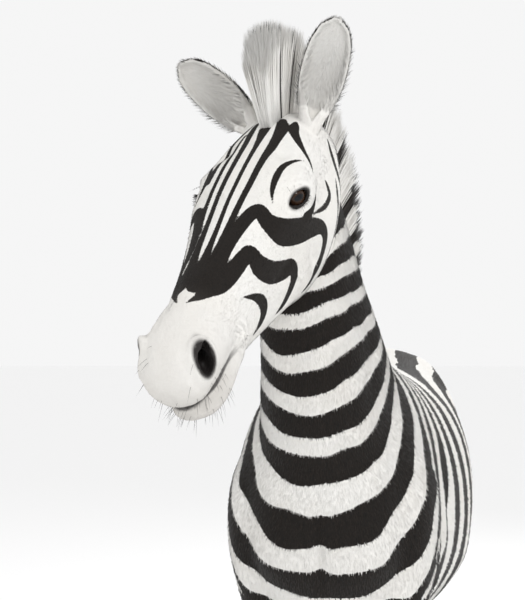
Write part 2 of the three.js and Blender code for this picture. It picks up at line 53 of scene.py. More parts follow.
WITHERS_HEIGHT = 1302
HEAD_YAW = 20
HEAD_PITCH = -47
POLL = (-50, -796, 1700)
EYE_RADIUS = 23
EAR_LENGTH = 168
EAR_HALF_WIDTH = 41
MANE_HEIGHT = 152
MANE_END = 0.93
HOOF_HEIGHT = 62
STRIDE = 36
STEP_TOP = 900
# Along the head, left and above, by the head's own axes, on its left side.
EYE_PLACE = (180, 75, -43)
NOSTRIL_PLACE = (518, 48, -58)
EAR_PLACE = (8, 61, -16)
# How far the opening between the lids is ahead of the eye's centre, how far the rim of a nostril is above
# its place, and how far along and above the corner of the mouth is.
LIDS_AHEAD = 18
NOSTRIL_UP = 3
MOUTH_CORNER = 432
MOUTH_LEVEL = -121

# Along the body, top, bottom, widest level, half width, squareness, flare.
TORSO = [
    (-652, 1055, 950, 1003, 34, 2.0, 0),
    (-618, 1130, 868, 1000, 112, 2.1, 0),
    (-520, 1235, 765, 985, 172, 2.2, 0),
    (-400, 1290, 712, 960, 200, 2.2, -0.03),
    (-280, WITHERS_HEIGHT, 686, 938, 226, 2.1, -0.06),
    (-140, 1278, 660, 928, 252, 2.1, -0.04),
    (20, 1256, 641, 925, 274, 2.2, 0),
    (180, 1255, 641, 940, 277, 2.2, 0.02),
    (340, 1277, 682, 972, 262, 2.2, 0.04),
    (480, 1295, 752, 1012, 243, 2.2, 0.05),
    (600, 1275, 826, 1040, 212, 2.2, 0.03),
    (690, 1212, 890, 1045, 158, 2.1, 0),
    (738, 1105, 985, 1046, 48, 2.0, 0),
]
# Middle x, y, z, yaw, pitch, reach up, reach down, half width, squareness.
NECK = [
    (0, -330, 1040, 0, 22, 268, 320, 152, 2.2),
    (-1, -440, 1130, 2, 38, 226, 262, 142, 2.2),
    (-6, -538, 1242, 6, 48, 190, 190, 121, 2.2),
    (-15, -600, 1340, 11, 50, 156, 150, 101, 2.2),
    (-28, -628, 1447, 15, 42, 132, 128, 88, 2.2),
    (-40, -680, 1543, 18, 10, 115, 114, 80, 2.2),
    (-55, -752, 1578, 20, -15, 112, 118, 72, 2.1),
]
# Along the face from the poll, top, bottom, widest level, half width, squareness, flare.
SKULL = [
    (-48, -62, -150, -106, 26, 2.0, 0),
    (-24, -22, -186, -100, 62, 2.1, 0),
    (20, 2, -222, -88, 80, 2.2, 0.04),
    (80, 11, -250, -78, 90, 2.4, 0.10),
    (150, 14, -256, -70, 95, 2.6, 0.16),
    (215, 9, -244, -70, 91, 2.6, 0.17),
    (285, 1, -219, -76, 75, 2.4, 0.16),
    (355, -5, -195, -80, 60, 2.3, 0.14),
    (420, -10, -176, -80, 52, 2.2, 0.12),
    (480, -16, -160, -80, 48, 2.2, 0.10),
    (520, -30, -140, -84, 36, 2.0, 0),
]
MUZZLE = [
    (350, -40, -104, -72, 26, 2.0, 0),
    (415, -16, -124, -72, 50, 2.1, 0),
    (485, -15, -127, -68, 60, 2.2, 0.05),
    (530, -24, -125, -70, 62, 2.2, 0.03),
    (560, -47, -119, -80, 47, 2.1, 0),
    (574, -74, -108, -90, 16, 2.0, 0),
]
CHIN = [
    (400, -118, -172, -146, 34, 2.1, 0),
    (450, -117, -175, -146, 42, 2.1, 0),
    (500, -117, -177, -147, 45, 2.1, 0),
    (540, -118, -167, -143, 38, 2.1, 0),
    (564, -122, -150, -136, 17, 2.0, 0),
]
# Height, front, back, middle x, half width, squareness.
FORE_LEG = [
    (1130, -505, -345, 128, 30, 2.0),
    (1030, -560, -300, 140, 62, 2.2),
    (920, -555, -285, 140, 72, 2.3),
    (820, -520, -292, 132, 66, 2.3),
    (740, -488, -312, 124, 54, 2.2),
    (640, -468, -346, 119, 45, 2.2),
    (520, -456, -366, 116, 37, 2.2),
    (445, -458, -374, 115, 37, 2.3),
    (395, -458, -372, 114, 38, 2.4),
    (340, -446, -376, 114, 29, 2.2),
    (250, -440, -380, 114, 23, 2.2),
    (190, -441, -376, 114, 24, 2.2),
    (150, -450, -372, 114, 29, 2.3),
    (108, -462, -400, 114, 26, 2.2),
    (74, -486, -410, 115, 31, 2.2),
    (40, -492, -412, 116, 33, 2.2),
]
HIND_LEG = [
    (1180, 380, 640, 110, 40, 2.0),
    (1080, 350, 700, 142, 76, 2.2),
    (970, 335, 722, 148, 92, 2.3),
    (870, 338, 712, 142, 86, 2.3),
    (780, 392, 690, 134, 68, 2.2),
    (690, 466, 676, 128, 52, 2.2),
    (600, 540, 676, 124, 41, 2.2),
    (530, 574, 698, 121, 35, 2.2),
    (480, 580, 696, 120, 37, 2.4),
    (425, 578, 672, 119, 34, 2.3),
    (370, 580, 652, 119, 26, 2.2),
    (270, 574, 638, 119, 24, 2.2),
    (190, 564, 636, 119, 25, 2.2),
    (150, 552, 634, 119, 30, 2.3),
    (108, 532, 600, 119, 27, 2.2),
    (74, 506, 588, 120, 31, 2.2),
    (40, 500, 584, 120, 33, 2.2),
]
# Height, front and back from the middle of the sole, half width.
HOOF = [
    (HOOF_HEIGHT + 14, -34, 42, 33),
    (HOOF_HEIGHT - 8, -42, 45, 38),
    (22, -56, 48, 44),
    (0, -64, 47, 47),
]
HOOF_SQUARENESS = 2.3
# Forelegs and hind legs lie on either side of the first of these; the forelegs end behind at the second,
# and the hind legs begin in front at the third.
BETWEEN_LEGS_Y, FORE_LEG_BACK_Y, HIND_LEG_FRONT_Y = 100, -290, 400
FORE_SOLE_Y = -450
HIND_SOLE_Y = 542
# Down the tail: x, y, z, radius.
TAIL = [
    (0, 690, 1190, 34),
    (0, 738, 1172, 31),
    (2, 768, 1110, 26),
    (4, 780, 1010, 22),
    (6, 783, 900, 19),
    (8, 781, 790, 18),
    (9, 778, 690, 16),
    (10, 776, 620, 6),
]
# Up an ear: share of its length, share of its half width, reach back and front.
EAR_STATIONS = [
    (-0.16, 0.46, 19, 19),
    (0.0, 0.58, 23, 18),
    (0.15, 0.80, 26, 14),
    (0.35, 0.97, 25, 11),
    (0.55, 1.0, 20, 9),
    (0.75, 0.91, 14, 8),
    (0.91, 0.66, 9, 6),
    (1.0, 0.22, 4, 3),
]
EAR_CURL = 16
LEGS = {
    "front_left": dict(rows=FORE_LEG, left=1, step=-1, sole=FORE_SOLE_Y),
    "front_right": dict(rows=FORE_LEG, left=-1, step=1, sole=FORE_SOLE_Y),
    "rear_left": dict(rows=HIND_LEG, left=1, step=1, sole=HIND_SOLE_Y),
    "rear_right": dict(rows=HIND_LEG, left=-1, step=-1, sole=HIND_SOLE_Y),
}

# How far the skin lies inside the solids, so that the coat fills what is left.
COAT_BODY = 6.0
COAT_LEG = 3.0
COAT_HEAD = 2.0

rng = np.random.default_rng(11)

# The animal's left, the way its body faces, the way back, and up.
LEFT, AHEAD, BACKWARD, UP = np.array([(1.0, 0, 0), (0, -1.0, 0), (0, 1.0, 0), (0, 0, 1.0)])

# ---------------------------------------------------------------- shapes


def unit(v):
    v = np.asarray(v, float)
    return v / np.linalg.norm(v, axis=-1, keepdims=True)


def along_axes(points, centre, axes):
    """Coordinates of points from a centre along three axes."""
    offset = points - centre
    return [offset @ axis for axis in axes]


def between(at, places, rows):
    """Rows of numbers at some lengths along a line, from the rows at its own places."""
    return np.stack([np.interp(at, places, column) for column in rows.T], 1)


def turns(count):
    """Even angles round a full turn."""
    return np.linspace(0, 2 * np.pi, count, endpoint=False)


def axes_at(yaw, pitch):
    """Forward, side (the animal's left) and up of a part yawed to the right and pitched."""
    sy, cy = math.sin(math.radians(yaw)), math.cos(math.radians(yaw))
    sp, cp = math.sin(math.radians(pitch)), math.cos(math.radians(pitch))
    forward = np.array([-sy * cp, -cy * cp, sp])
    side = np.array([cy, -sy, 0.0])
    return forward, side, np.cross(forward, side)


def refine(rows, count):
    """Rows of numbers, filled in along a Catmull-Rom spline to the given count."""
    rows = np.asarray(rows, float)
    last = len(rows) - 1
    along = np.linspace(0, last, count)
    i = np.minimum(along.astype(int), last - 1)
    t = (along - i)[:, None]
    a, b = rows[i], rows[i + 1]
    slope = (b - rows[np.maximum(i - 1, 0)]) / 2
    next_slope = (rows[np.minimum(i + 2, last)] - a) / 2
    bend = 2 * (a - b) + slope + next_slope
    return a + t * (slope + t * (b - a - slope - bend + t * bend))


def ring(middle, side, up, reach_up, reach_down, half, square=2.0, flare=0.0, sides=48):
    """A rounded outline: squareness 2 is an ellipse, and more is boxier."""
    angle = turns(sides)
    across = np.sign(np.cos(angle)) * np.abs(np.cos(angle)) ** (2 / square)
    along = np.sign(np.sin(angle)) * np.abs(np.sin(angle)) ** (2 / square)
    wide = half * across * (1 + flare * along)
    tall = np.where(along > 0, reach_up * along, reach_down * along)
    return middle + wide[:, None] * side + tall[:, None] * up


def loft(rings):
    """The closed skin over a row of rings: points and triangles."""
    rings = np.asarray(rings, float)
    count, sides = rings.shape[:2]
    points = np.concatenate([rings.reshape(-1, 3), rings[:1].mean(1), rings[-1:].mean(1)])
    i, k = np.meshgrid(np.arange(count - 1), np.arange(sides), indexing="ij")
    a = (i * sides + k).ravel()
    b = (i * sides + (k + 1) % sides).ravel()
    faces = [np.stack([a, b, b + sides], 1), np.stack([a, b + sides, a + sides], 1)]
    k = np.arange(sides)
    start = (count - 1) * sides
    foot = np.full(sides, count * sides)
    faces.append(np.stack([foot, (k + 1) % sides, k], 1))
    faces.append(np.stack([foot + 1, start + k, start + (k + 1) % sides], 1))
    return outward(points, np.concatenate(faces))


def outward(points, faces):
    """The same solid with its faces turned out."""
    a, b, c = points[faces[:, 0]], points[faces[:, 1]], points[faces[:, 2]]
    volume = np.einsum("ij,ij->", a, np.cross(b, c))
    return points, (faces if volume > 0 else faces[:, ::-1])


def ellipsoid(centre, axes, radii, around=32, down=18):
    """An ellipsoid with its three radii along three axes."""
    x, y, z = (np.asarray(a, float) * r for a, r in zip(axes, radii))
    polar = np.linspace(0, np.pi, down + 1)[1:-1]
    turn = turns(around)
    rings = [
        centre + z * math.cos(p) + math.sin(p) * (np.outer(np.cos(turn), x) + np.outer(np.sin(turn), y))
        for p in polar
    ]
    return loft(rings)


def merged(pieces):
    """Several (points, faces) as one."""
    points, faces, start = [], [], 0
    for p, f in pieces:
        points.append(p)
        faces.append(f + start)
        start += len(p)
    return np.concatenate(points), np.concatenate(faces)


# The head's own axes, and the eyes and nostrils on it.

HEAD_F, HEAD_S, HEAD_U = axes_at(HEAD_YAW, HEAD_PITCH)
LEVEL_F, LEVEL_S, LEVEL_U = axes_at(HEAD_YAW, 0)
HEAD_BASIS = np.stack([HEAD_F, HEAD_S, HEAD_U])


def head_point(along, left, above):
    return np.asarray(POLL, float) + along * HEAD_F + left * HEAD_S + above * HEAD_U


def head_direction(along, left, above):
    return unit(along * HEAD_F + left * HEAD_S + above * HEAD_U)


def level_direction(ahead, left, up):
    return unit(ahead * LEVEL_F + left * LEVEL_S + up * LEVEL_U)


def to_head(points):
    """Head coordinates (along, left, above) of points."""
    return (points - np.asarray(POLL, float)) @ HEAD_BASIS.T


def eye_axes(left):
    gaze = head_direction(0.50, 0.84 * left, 0.20)
    corners = head_direction(0.86, -0.50 * left, 0.16)
    lids = unit(np.cross(gaze, corners))
    return np.cross(corners, lids), corners, lids


def on_side(place, left):
    """A place given for the left side of the head, on its left (1) or right (-1) side."""
    along, side, above = place
    return head_point(along, side * left, above)


def eye_centre(left):
    return on_side(EYE_PLACE, left)


def eye_front(left):
    """The middle of the opening between an eye's lids."""
    return eye_centre(left) + eye_axes(left)[0] * LIDS_AHEAD


def nostril_axes(left):
    out = head_direction(0.62, 0.76 * left, 0.18)
    long = head_direction(-0.30, 0.02 * left, 0.95)
    across = unit(np.cross(out, long))
    return out, np.cross(across, out), across


def nostril_centre(left):
    return on_side(NOSTRIL_PLACE, left)


# Each ear's side, the way it grows and the way its cup faces.
EARS = {
    "left": (1, level_direction(-0.06, 0.25, 0.96), level_direction(0.80, 0.55, 0.08)),
    "right": (-1, level_direction(0.12, -0.72, 0.68), level_direction(0.90, 0.02, -0.3)),
}


def ear_axes(name):
    """Up an ear, across it and out of its cup."""
    _, grow, cup = EARS[name]
    across = unit(np.cross(grow, cup))
    return grow, across, np.cross(across, grow)


def ear_root(name):
    return on_side(EAR_PLACE, EARS[name][0])


def ear_half(t):
    """An ear's half width at shares of its length."""
    return np.interp(t, [row[0] for row in EAR_STATIONS], [row[1] * EAR_HALF_WIDTH for row in EAR_STATIONS])


# The shift from these stations to the frame, from where the frame has the left eye.
low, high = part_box("eye_left")
SHIFT = (np.array(low) + np.array(high)) * 500 - eye_centre(1)


def metres(points):
    return (np.asarray(points, float) + SHIFT) / 1000


def stations(points):
    """The stations' millimetres of points in the frame's metres."""
    return np.asarray(points, float) * 1000 - SHIFT


# ---------------------------------------------------------------- the solids under the skin


def torso_loft(inset):
    """The torso, smaller by an inset."""
    return loft([
        ring(np.array([0, y, level]), LEFT, UP, top - level - inset, level - bottom - inset,
             half - inset, square, flare, 72)
        for y, top, bottom, level, half, square, flare in refine(TORSO, 80)
    ])


def neck_loft(inset):
    """The neck, smaller by an inset."""
    rings = []
    for x, y, z, yaw, pitch, up, down, half, square in refine(NECK, 50):
        _, side, rise = axes_at(yaw, pitch)
        rings.append(ring(np.array([x, y, z]), side, rise, up - inset, down - inset, half - inset, square))
    return loft(rings)


def head_loft(rows, count, inset):
    """The skull, the muzzle or the chin, smaller by an inset."""
    return loft([
        ring(head_point(along, 0, level), HEAD_S, HEAD_U, top - level - inset,
             level - bottom - inset, half - inset, square, flare, 56)
        for along, top, bottom, level, half, square, flare in refine(rows, count)
    ])


def step_at(leg, z):
    """How far back a leg's stride moves it at a height."""
    return STRIDE * leg["step"] * np.maximum(1 - z / STEP_TOP, 0)


def leg_loft(leg):
    """A leg, smaller by the depth of its coat, which is less at its foot."""
    rings = []
    for z, front, back, x, half, square in refine(leg["rows"], 90):
        inset = np.interp(z, [100, 700], [COAT_LEG * 0.6, COAT_BODY])
        reach = (back - front) / 2 - inset
        middle = np.array([leg["left"] * x, (front + back) / 2 + step_at(leg, z), z])
        rings.append(ring(middle, LEFT, AHEAD, reach, reach, half - inset, square, 0, 40))
    return loft(rings)


def dock_loft():
    """The tail down to where its long hair hides it."""
    return loft([
        ring(np.array([x, y, z]), LEFT, BACKWARD, r - 4, r - 4, r - 4, 2, 0, 28)
        for x, y, z, r in refine(TAIL, 50)[:-6]
    ])


def ear_solid(name):
    """An ear's outer form and the hollow that is cut out of it."""
    grow, across, out = ear_axes(name)
    root = ear_root(name)

    def along(t):
        return root + grow * EAR_LENGTH * t + out * EAR_CURL * t * t

    outer = [
        ring(along(t), across, out, front, back, half * EAR_HALF_WIDTH - 1, 2, 0, 48)
        for t, half, back, front in refine(EAR_STATIONS, 40)
    ]
    hollow = []
    for t, half, back, front in refine(EAR_STATIONS[1:], 34):
        opening = min(0.15 + 3 * t, 1)
        hollow.append(ring(along(t - 0.03), across, out, front + 20, max(back - 7, 1) * opening,
                           max(half * EAR_HALF_WIDTH - 6.5, 2) * opening, 2, 0, 40))
    return loft(outer), loft(hollow)


def eye_surround(left):
    """The swelling of the socket, the lids and the brow."""
    axes = eye_axes(left)
    return [
        ellipsoid(head_point(176, 65 * left, -44), axes, (32, 56, 41)),
        ellipsoid(eye_centre(left), axes, (27, 29, 26.5)),
        ellipsoid(head_point(166, 67 * left, -22), axes, (26, 45, 19)),
    ]


def cheek_ridge(left):
    along = head_direction(0.96, -0.27 * left, -0.05)
    out = head_direction(0.27, 0.96 * left, 0)
    return ellipsoid(head_point(250, 59 * left, -90), (along, out, np.cross(along, out)), (110, 19, 19))


def almond(left):
    """The opening between the lids: what two round edges leave between them."""
    gaze, corners, lids = eye_axes(left)
    middle = eye_centre(left) + gaze * 20
    half_length, rise, drop = 21.5, 12.5, 9.5
    u, v = np.cos(turns(40)), np.sin(turns(40))
    reach = np.where(v > 0, rise, drop) * v * (1 - 0.25 * u * u)
    rings = []
    for depth, grow in ((-30, 0.75), (0, 0.98), (4, 1.05), (9, 1.2), (26, 1.6)):
        rings.append(middle + gaze * depth + np.outer(u * half_length * grow, corners)
                     + np.outer(reach * grow, lids))
    return loft(rings)


def nostril_hollow(left):
    """A comma-shaped nostril: a tall hole with its tail turned up and back."""
    out, long, across = nostril_axes(left)
    centre = nostril_centre(left)
    tail_axes = (out, unit(long - across * 0.45 * left), unit(across + long * 0.45 * left))
    hole = ellipsoid(centre + out * 12 - long * 3, (out, long, across), (27, 22, 12))
    tail = ellipsoid(centre + out * 13 + long * 14 - across * 5 * left, tail_axes, (22, 18, 7.5))
    deep = ellipsoid(centre - out * 8 + long * 2, (out, long, across), (24, 14, 9))
    return [hole, tail, deep]


def mouth_slot():
    """A wedge between the lips, open at the front and sides, shallow everywhere."""
    gaps = ((MOUTH_CORNER, 1.5), (MOUTH_CORNER + 12, 2.4), (520, 2.8), (552, 3.0), (592, 3.4))
    corners = [(-90, 1), (-30, 0.8), (30, 0.8), (90, 1), (90, -1), (30, -0.8), (-30, -0.8), (-90, -1)]
    rings = []
    for along, half_gap in gaps:
        level = MOUTH_LEVEL - 4 * math.exp(-((along - MOUTH_CORNER) / 22) ** 2)
        rings.append([head_point(along, left, level + half_gap * rise) for left, rise in corners])
    return loft(rings)


def mouth_core():
    """What stays closed behind the lips."""
    return loft([
        ring(head_point(along, 0, MOUTH_LEVEL - 1), HEAD_S, HEAD_U, 9, 9, half, 5, 0, 32)
        for along, half in refine([(410, 52), (445, 44), (470, 40), (510, 40), (534, 31), (548, 17)], 20)
    ])


def ripple(co, size, seed):
    """A smooth random value from about -1 to 1 that changes over a size in millimetres."""
    draw = np.random.default_rng(seed)
    total = np.zeros(len(co))
    for _ in range(7):
        way = unit(draw.normal(size=3)) * draw.uniform(0.6, 1.5) / size
        total += np.sin(co @ way * 2 * np.pi + draw.uniform(0, 6.3))
    return total / 3.2


# Behind this line of the head's side view the neck's bands begin: above, along.
JAW_LINE = [(-2000, 6000), (-310, 620), (-276, 330), (-264, 150), (-246, 84), (-215, 46), (-150, 6),
            (-60, -14), (20, -34)]


def behind_jaw(place):
    """How far ahead of the line from the poll down behind the jaw each place is."""
    line = np.array(JAW_LINE, float).T
    return place[:, 0] - np.interp(place[:, 2], line[0], line[1])


# ---------------------------------------------------------------- mesh tools


def linked(name, data):
    """A new object in the scene."""
    obj = bpy.data.objects.new(name, data)
    bpy.context.scene.collection.objects.link(obj)
    return obj


def mesh_object(name, points, faces):
    """A mesh object from points in the frame's metres and triangles."""
    mesh = bpy.data.meshes.new(name)
    faces = np.ascontiguousarray(faces, np.int32)
    mesh.vertices.add(len(points))
    mesh.vertices.foreach_set("co", np.ascontiguousarray(points, np.float32).ravel())
    mesh.loops.add(faces.size)
    mesh.loops.foreach_set("vertex_index", faces.ravel())
    mesh.polygons.add(len(faces))
    mesh.polygons.foreach_set("loop_start", np.arange(0, faces.size, 3, dtype=np.int32))
    mesh.polygons.foreach_set("use_smooth", np.ones(len(faces), bool))
    mesh.update(calc_edges=True)
    mesh.validate()
    return linked(name, mesh)


def solid_object(name, pieces):
    """An object from solids in the stations' millimetres."""
    points, faces = merged(pieces)
    return mesh_object(name, metres(points), faces)


def triples(items, key, kind):
    """A value of three numbers of each of a mesh's items, as an array."""
    values = np.empty(len(items) * 3, kind)
    items.foreach_get(key, values)
    return values.reshape(-1, 3)


def points_of(obj):
    """An object's points in the stations' millimetres."""
    return stations(triples(obj.data.vertices, "co", np.float32).astype(float))


def normals_of(obj):
    return triples(obj.data.vertex_normals, "vector", np.float32).astype(float)


def triangles_of(obj):
    obj.data.calc_loop_triangles()
    return triples(obj.data.loop_triangles, "vertices", np.int32)


def move_points(obj, co):
    """The object with its points at new places in the stations' millimetres."""
    obj.data.vertices.foreach_set("co", metres(co).astype(np.float32).ravel())
    obj.data.update()


def weight_group(obj, name, weights, levels=16):
    """A vertex group from an array of weights, in steps."""
    group = obj.vertex_groups.new(name=name)
    steps = np.round(np.clip(weights, 0, 1) * levels).astype(int)
    for step in range(1, levels + 1):
        chosen = np.nonzero(steps == step)[0]
        if len(chosen):
            group.add(chosen.tolist(), step / levels, "REPLACE")


def settled(obj):
    """The object with its modifiers applied."""
    graph = bpy.context.evaluated_depsgraph_get()
    mesh = bpy.data.meshes.new_from_object(obj.evaluated_get(graph))
    old = obj.data
    obj.modifiers.clear()
    obj.data = mesh
    obj.vertex_groups.clear()
    bpy.data.meshes.remove(old)
    return obj


def applied(obj, kind, **settings):
    """The object with one modifier applied."""
    modifier = obj.modifiers.new(kind, kind)
    for key, value in settings.items():
        setattr(modifier, key, value)
    return settled(obj)


def smoothed(obj, weights, iterations):
    """The object smoothed where the weights say."""
    weight_group(obj, "smooth", weights)
    return applied(obj, "SMOOTH", factor=0.5, iterations=iterations, vertex_group="smooth")


def voxel_skin(obj, size):
    """One closed skin round all of an object's solids."""
    return applied(obj, "REMESH", mode="VOXEL", voxel_size=size, use_smooth_shade=True)


def smooth_step(low, high, value):
    """0 at the low value and 1 at the high one, with a smooth way between them."""
    t = np.clip((value - low) / (high - low), 0, 1)
    return t * t * (3 - 2 * t)


def fade(low, high, value):
    """1 up to the low value, and 0 from the high one on."""
    return 1 - smooth_step(low, high, value)


def bell(points, centre, radii):
    """A soft bump: 1 at the centre, and near 0 beyond the radii."""
    offset = points - np.asarray(centre, float)
    return np.exp(-2 * np.sum((offset / np.asarray(radii, float)) ** 2, axis=1))


# ---------------------------------------------------------------- the skin

# Muscles and hollows of the trunk: centre, radii, and how far they rise. Both sides get each.
BODY_FORMS = [
    ((205, -405, 1075), (70, 75, 190), 9),
    ((232, -255, 960), (60, 34, 210), -8),
    ((205, -330, 900), (60, 70, 95), 8),
    ((196, -292, 790), (30, 34, 42), 9),
    ((85, -590, 905), (62, 70, 80), 12),
    ((0, -650, 900), (16, 70, 120), -13),
    ((150, -470, 930), (26, 30, 120), -6),
    ((238, 380, 1120), (60, 55, 75), -15),
    ((196, 405, 1225), (40, 42, 34), 13),
    ((150, 540, 1240), (80, 95, 60), 10),
    ((188, 640, 1080), (50, 40, 70), 8),
    ((190, 372, 830), (36, 44, 70), 12),
    ((196, 655, 930), (50, 20, 170), -8),
    ((200, 470, 900), (60, 60, 120), 7),
    ((0, 738, 1010), (20, 50, 150), -20),
    ((0, 640, 860), (30, 120, 60), -14),
    ((262, 60, 800), (60, 170, 60), 6),
    ((0, 300, 690), (60, 200, 40), -6),
    ((40, -260, 1300), (30, 120, 40), -5),
    ((0, 60, 1270), (26, 260, 40), -5),
    ((66, -560, 1120), (30, 60, 60), 8),
    ((92, -600, 1250), (26, 60, 90), -6),
    ((96, -560, 1330), (24, 50, 110), 6),
    ((70, -655, 1420), (20, 34, 80), -5),
    ((64, -700, 1490), (22, 26, 40), 5),
]

# Forms of the head: along, left, above, their radii and how far they rise.
HEAD_FORMS = [
    ((108, 92, -160), (70, 40, 62), 5.5),
    ((196, 84, -176), (14, 40, 56), -5),
    ((118, 58, 4), (24, 22, 18), -8),
    ((90, 86, -36), (22, 24, 26), -3),
    ((262, 64, -112), (60, 24, 12), -4),
    ((330, 52, -60), (60, 20, 22), -4),
    ((250, 0, 12), (90, 26, 20), 2.5),
    ((440, 28, -20), (46, 11, 16), -5),
    ((452, 56, -66), (24, 16, 30), -5),
    ((486, 50, -110), (40, 22, 14), 4),
    ((540, 24, -112), (22, 26, 14), 4),
    ((572, 0, -92), (20, 4.5, 24), -4),
    ((556, 0, -34), (20, 12, 20), -2.5),
    ((520, 30, -146), (34, 18, 16), 3),
    ((452, 44, -132), (18, 16, 20), -3.5),
    ((420, 40, -150), (26, 16, 18), 3),
    ((300, 30, -216), (110, 16, 20), -5),
    ((330, 44, -190), (110, 12, 16), 3.5),
    ((40, 76, -60), (30, 22, 30), -4),
    ((-12, 60, -150), (26, 26, 40), -6),
]

# Forms of the lower legs, from the middle of the leg: height, side, back, radii, rise.
FORE_FORMS = [
    (270, 17, 12, (12, 9, 90), -3.5),
    (420, 0, -40, (26, 18, 34), 4),
    (418, 30, -4, (12, 26, 30), 2.5),
    (480, 0, 34, (24, 16, 26), 4),
    (154, 0, 40, (22, 16, 26), 5),
    (160, 24, 4, (12, 22, 22), 2.5),
    (112, 0, 22, (20, 14, 18), -3),
    (640, 34, -20, (16, 24, 80), 4),
    (600, 30, 22, (14, 14, 70), -3),
]
HIND_FORMS = [
    (280, 17, 14, (12, 9, 90), -3.5),
    (470, 30, -6, (12, 30, 34), 3),
    (540, 0, 60, (20, 18, 36), 5),
    (500, 24, 34, (12, 14, 40), -3),
    (590, 22, 40, (12, 12, 60), -5),
    (154, 0, 40, (22, 16, 26), 5),
    (160, 24, 2, (12, 22, 22), 2.5),
    (112, 0, 22, (20, 14, 18), -3),
    (680, 40, 20, (16, 34, 60), 4),
]


def leg_middle(leg, z):
    """The middle of a leg at a height."""
    rows = np.array(leg["rows"][::-1], float)
    x = leg["left"] * np.interp(z, rows[:, 0], rows[:, 3])
    y = np.interp(z, rows[:, 0], (rows[:, 1] + rows[:, 2]) / 2) + step_at(leg, z)
    return x, y


def raised(points, normals, forms, on_head=False, mirrored=True):
    """Points moved along their normals by soft bumps, given in the head's axes for forms on the head."""
    where = to_head(points) if on_head else points
    across = 1 if on_head else 0
    rise = np.zeros(len(points))
    for centre, radii, amount in forms:
        for side in (1, -1) if mirrored and centre[across] else (1,):
            middle = np.array(centre, float)
            middle[across] *= side
            rise += amount * bell(where, middle, radii)
    return points + normals * rise[:, None]


def leg_forms():
    forms = []
    for leg in LEGS.values():
        fore = leg["rows"] is FORE_LEG
        for z, side, back, radii, amount in FORE_FORMS if fore else HIND_FORMS:
            x, y = leg_middle(leg, z)
            for turn in (1, -1) if side else (1,):
                forms.append(((x + turn * side, y + back, z), radii, amount))
    return forms


def build_trunk():
    """Torso, neck, head core, legs and dock as one smooth body."""
    pieces = [torso_loft(COAT_BODY), neck_loft(COAT_BODY), head_loft(SKULL, 60, COAT_HEAD), dock_loft()]
    pieces += [leg_loft(leg) for leg in LEGS.values()]
    trunk = voxel_skin(solid_object("trunk", pieces), TRUNK_VOXEL)
    co = points_of(trunk)
    along = to_head(co)[:, 0]
    soft = smooth_step(560, 760, co[:, 2]) * fade(-10, 70, along)
    soft *= 1 - 0.8 * smooth_step(700, 745, co[:, 1])
    smoothed(trunk, np.maximum(soft, 0.06), 60)
    smoothed(trunk, bell(points_of(trunk), (0, -560, 1060), (260, 190, 260)), 140)
    co = raised(points_of(trunk), normals_of(trunk), BODY_FORMS)
    co = raised(co, normals_of(trunk), leg_forms(), mirrored=False)
    move_points(trunk, co)
    return applied(trunk, "SMOOTH", factor=0.5, iterations=4)


def cut_by(obj, solids):
    """The object after solids are cut out of it."""
    tools = [solid_object(f"tool_{k}", [solid]) for k, solid in enumerate(solids)]
    for tool in tools:
        modifier = obj.modifiers.new(tool.name, "BOOLEAN")
        modifier.operation = "DIFFERENCE"
        modifier.solver = "MANIFOLD"
        modifier.object = tool
    settled(obj)
    for tool in tools:
        bpy.data.objects.remove(tool)
    return obj


def joined(target, others):
    """One object from several, under the first one's name."""
    name = target.name
    bpy.ops.object.select_all(action="DESELECT")
    for obj in [target, *others]:
        obj.select_set(True)
    bpy.context.view_layer.objects.active = target
    bpy.ops.object.join()
    target.name = name
    return target


# The head's finer mesh begins at a plane across the neck.
SEAM = np.array([-15.0, -600.0, 1300.0])
SEAM_AXES = axes_at(8, 48)
SEAM_LAP = 1.5


def half_space(ahead, offset=0.0):
    """A block that holds all on one side of the seam's plane, moved ahead by an offset."""
    forward, side, up = SEAM_AXES
    size = 3000
    corners = [(side * s + up * u) * size for s, u in ((1, 1), (-1, 1), (-1, -1), (1, -1))]
    ends = (offset, size) if ahead else (-size, offset)
    return loft([[SEAM + forward * end + corner for corner in corners] for end in ends])


def past_seam(co):
    """How far ahead of the seam between the trunk's mesh and the head's each point is."""
    return (co - SEAM) @ SEAM_AXES[0]


# Veins and wrinkles seen from the side: rise, width, and points along and above.
SIDE_LINES = [
    (1.0, 3.4, [(392, -100), (350, -94), (306, -106), (266, -136), (240, -170)]),
    (0.7, 2.8, [(306, -106), (332, -74), (372, -54)]),
    (0.6, 2.6, [(350, -94), (384, -76), (430, -66)]),
    (-1.1, 2.4, [(424, -103), (418, -113), (417, -127), (423, -140)]),
    (-0.8, 2.4, [(413, -97), (406, -112), (406, -129), (413, -145)]),
    (-0.5, 2.4, [(402, -94), (395, -112), (396, -132), (404, -150)]),
    (-0.9, 3.0, [(560, -138), (536, -143), (508, -146), (480, -145)]),
    (-0.7, 2.6, [(500, -22), (484, -34), (474, -52), (472, -72)]),
    (-0.5, 2.6, [(488, -16), (470, -30), (459, -52), (457, -76)]),
]


# Folds round an eye: long and tall radius, on its upper (1) or lower (-1) side, width and rise.
EYE_FOLDS = [
    (24.5, 14.0, 1, 2.2, 0.9), (24.5, 11.5, -1, 2.0, 0.7), (29, 19, 1, 2.0, -1.7), (33, 25, 1, 2.4, -0.9),
    (38, 32, 1, 3.0, -0.6), (29, 17, -1, 2.2, -1.2), (34, 24, -1, 2.6, -0.8),
]
# Creases of the throat: how far behind the jaw, and their rise.
THROAT_FOLDS = [(-16, -1.8), (-34, -1.4), (-54, -0.9)]


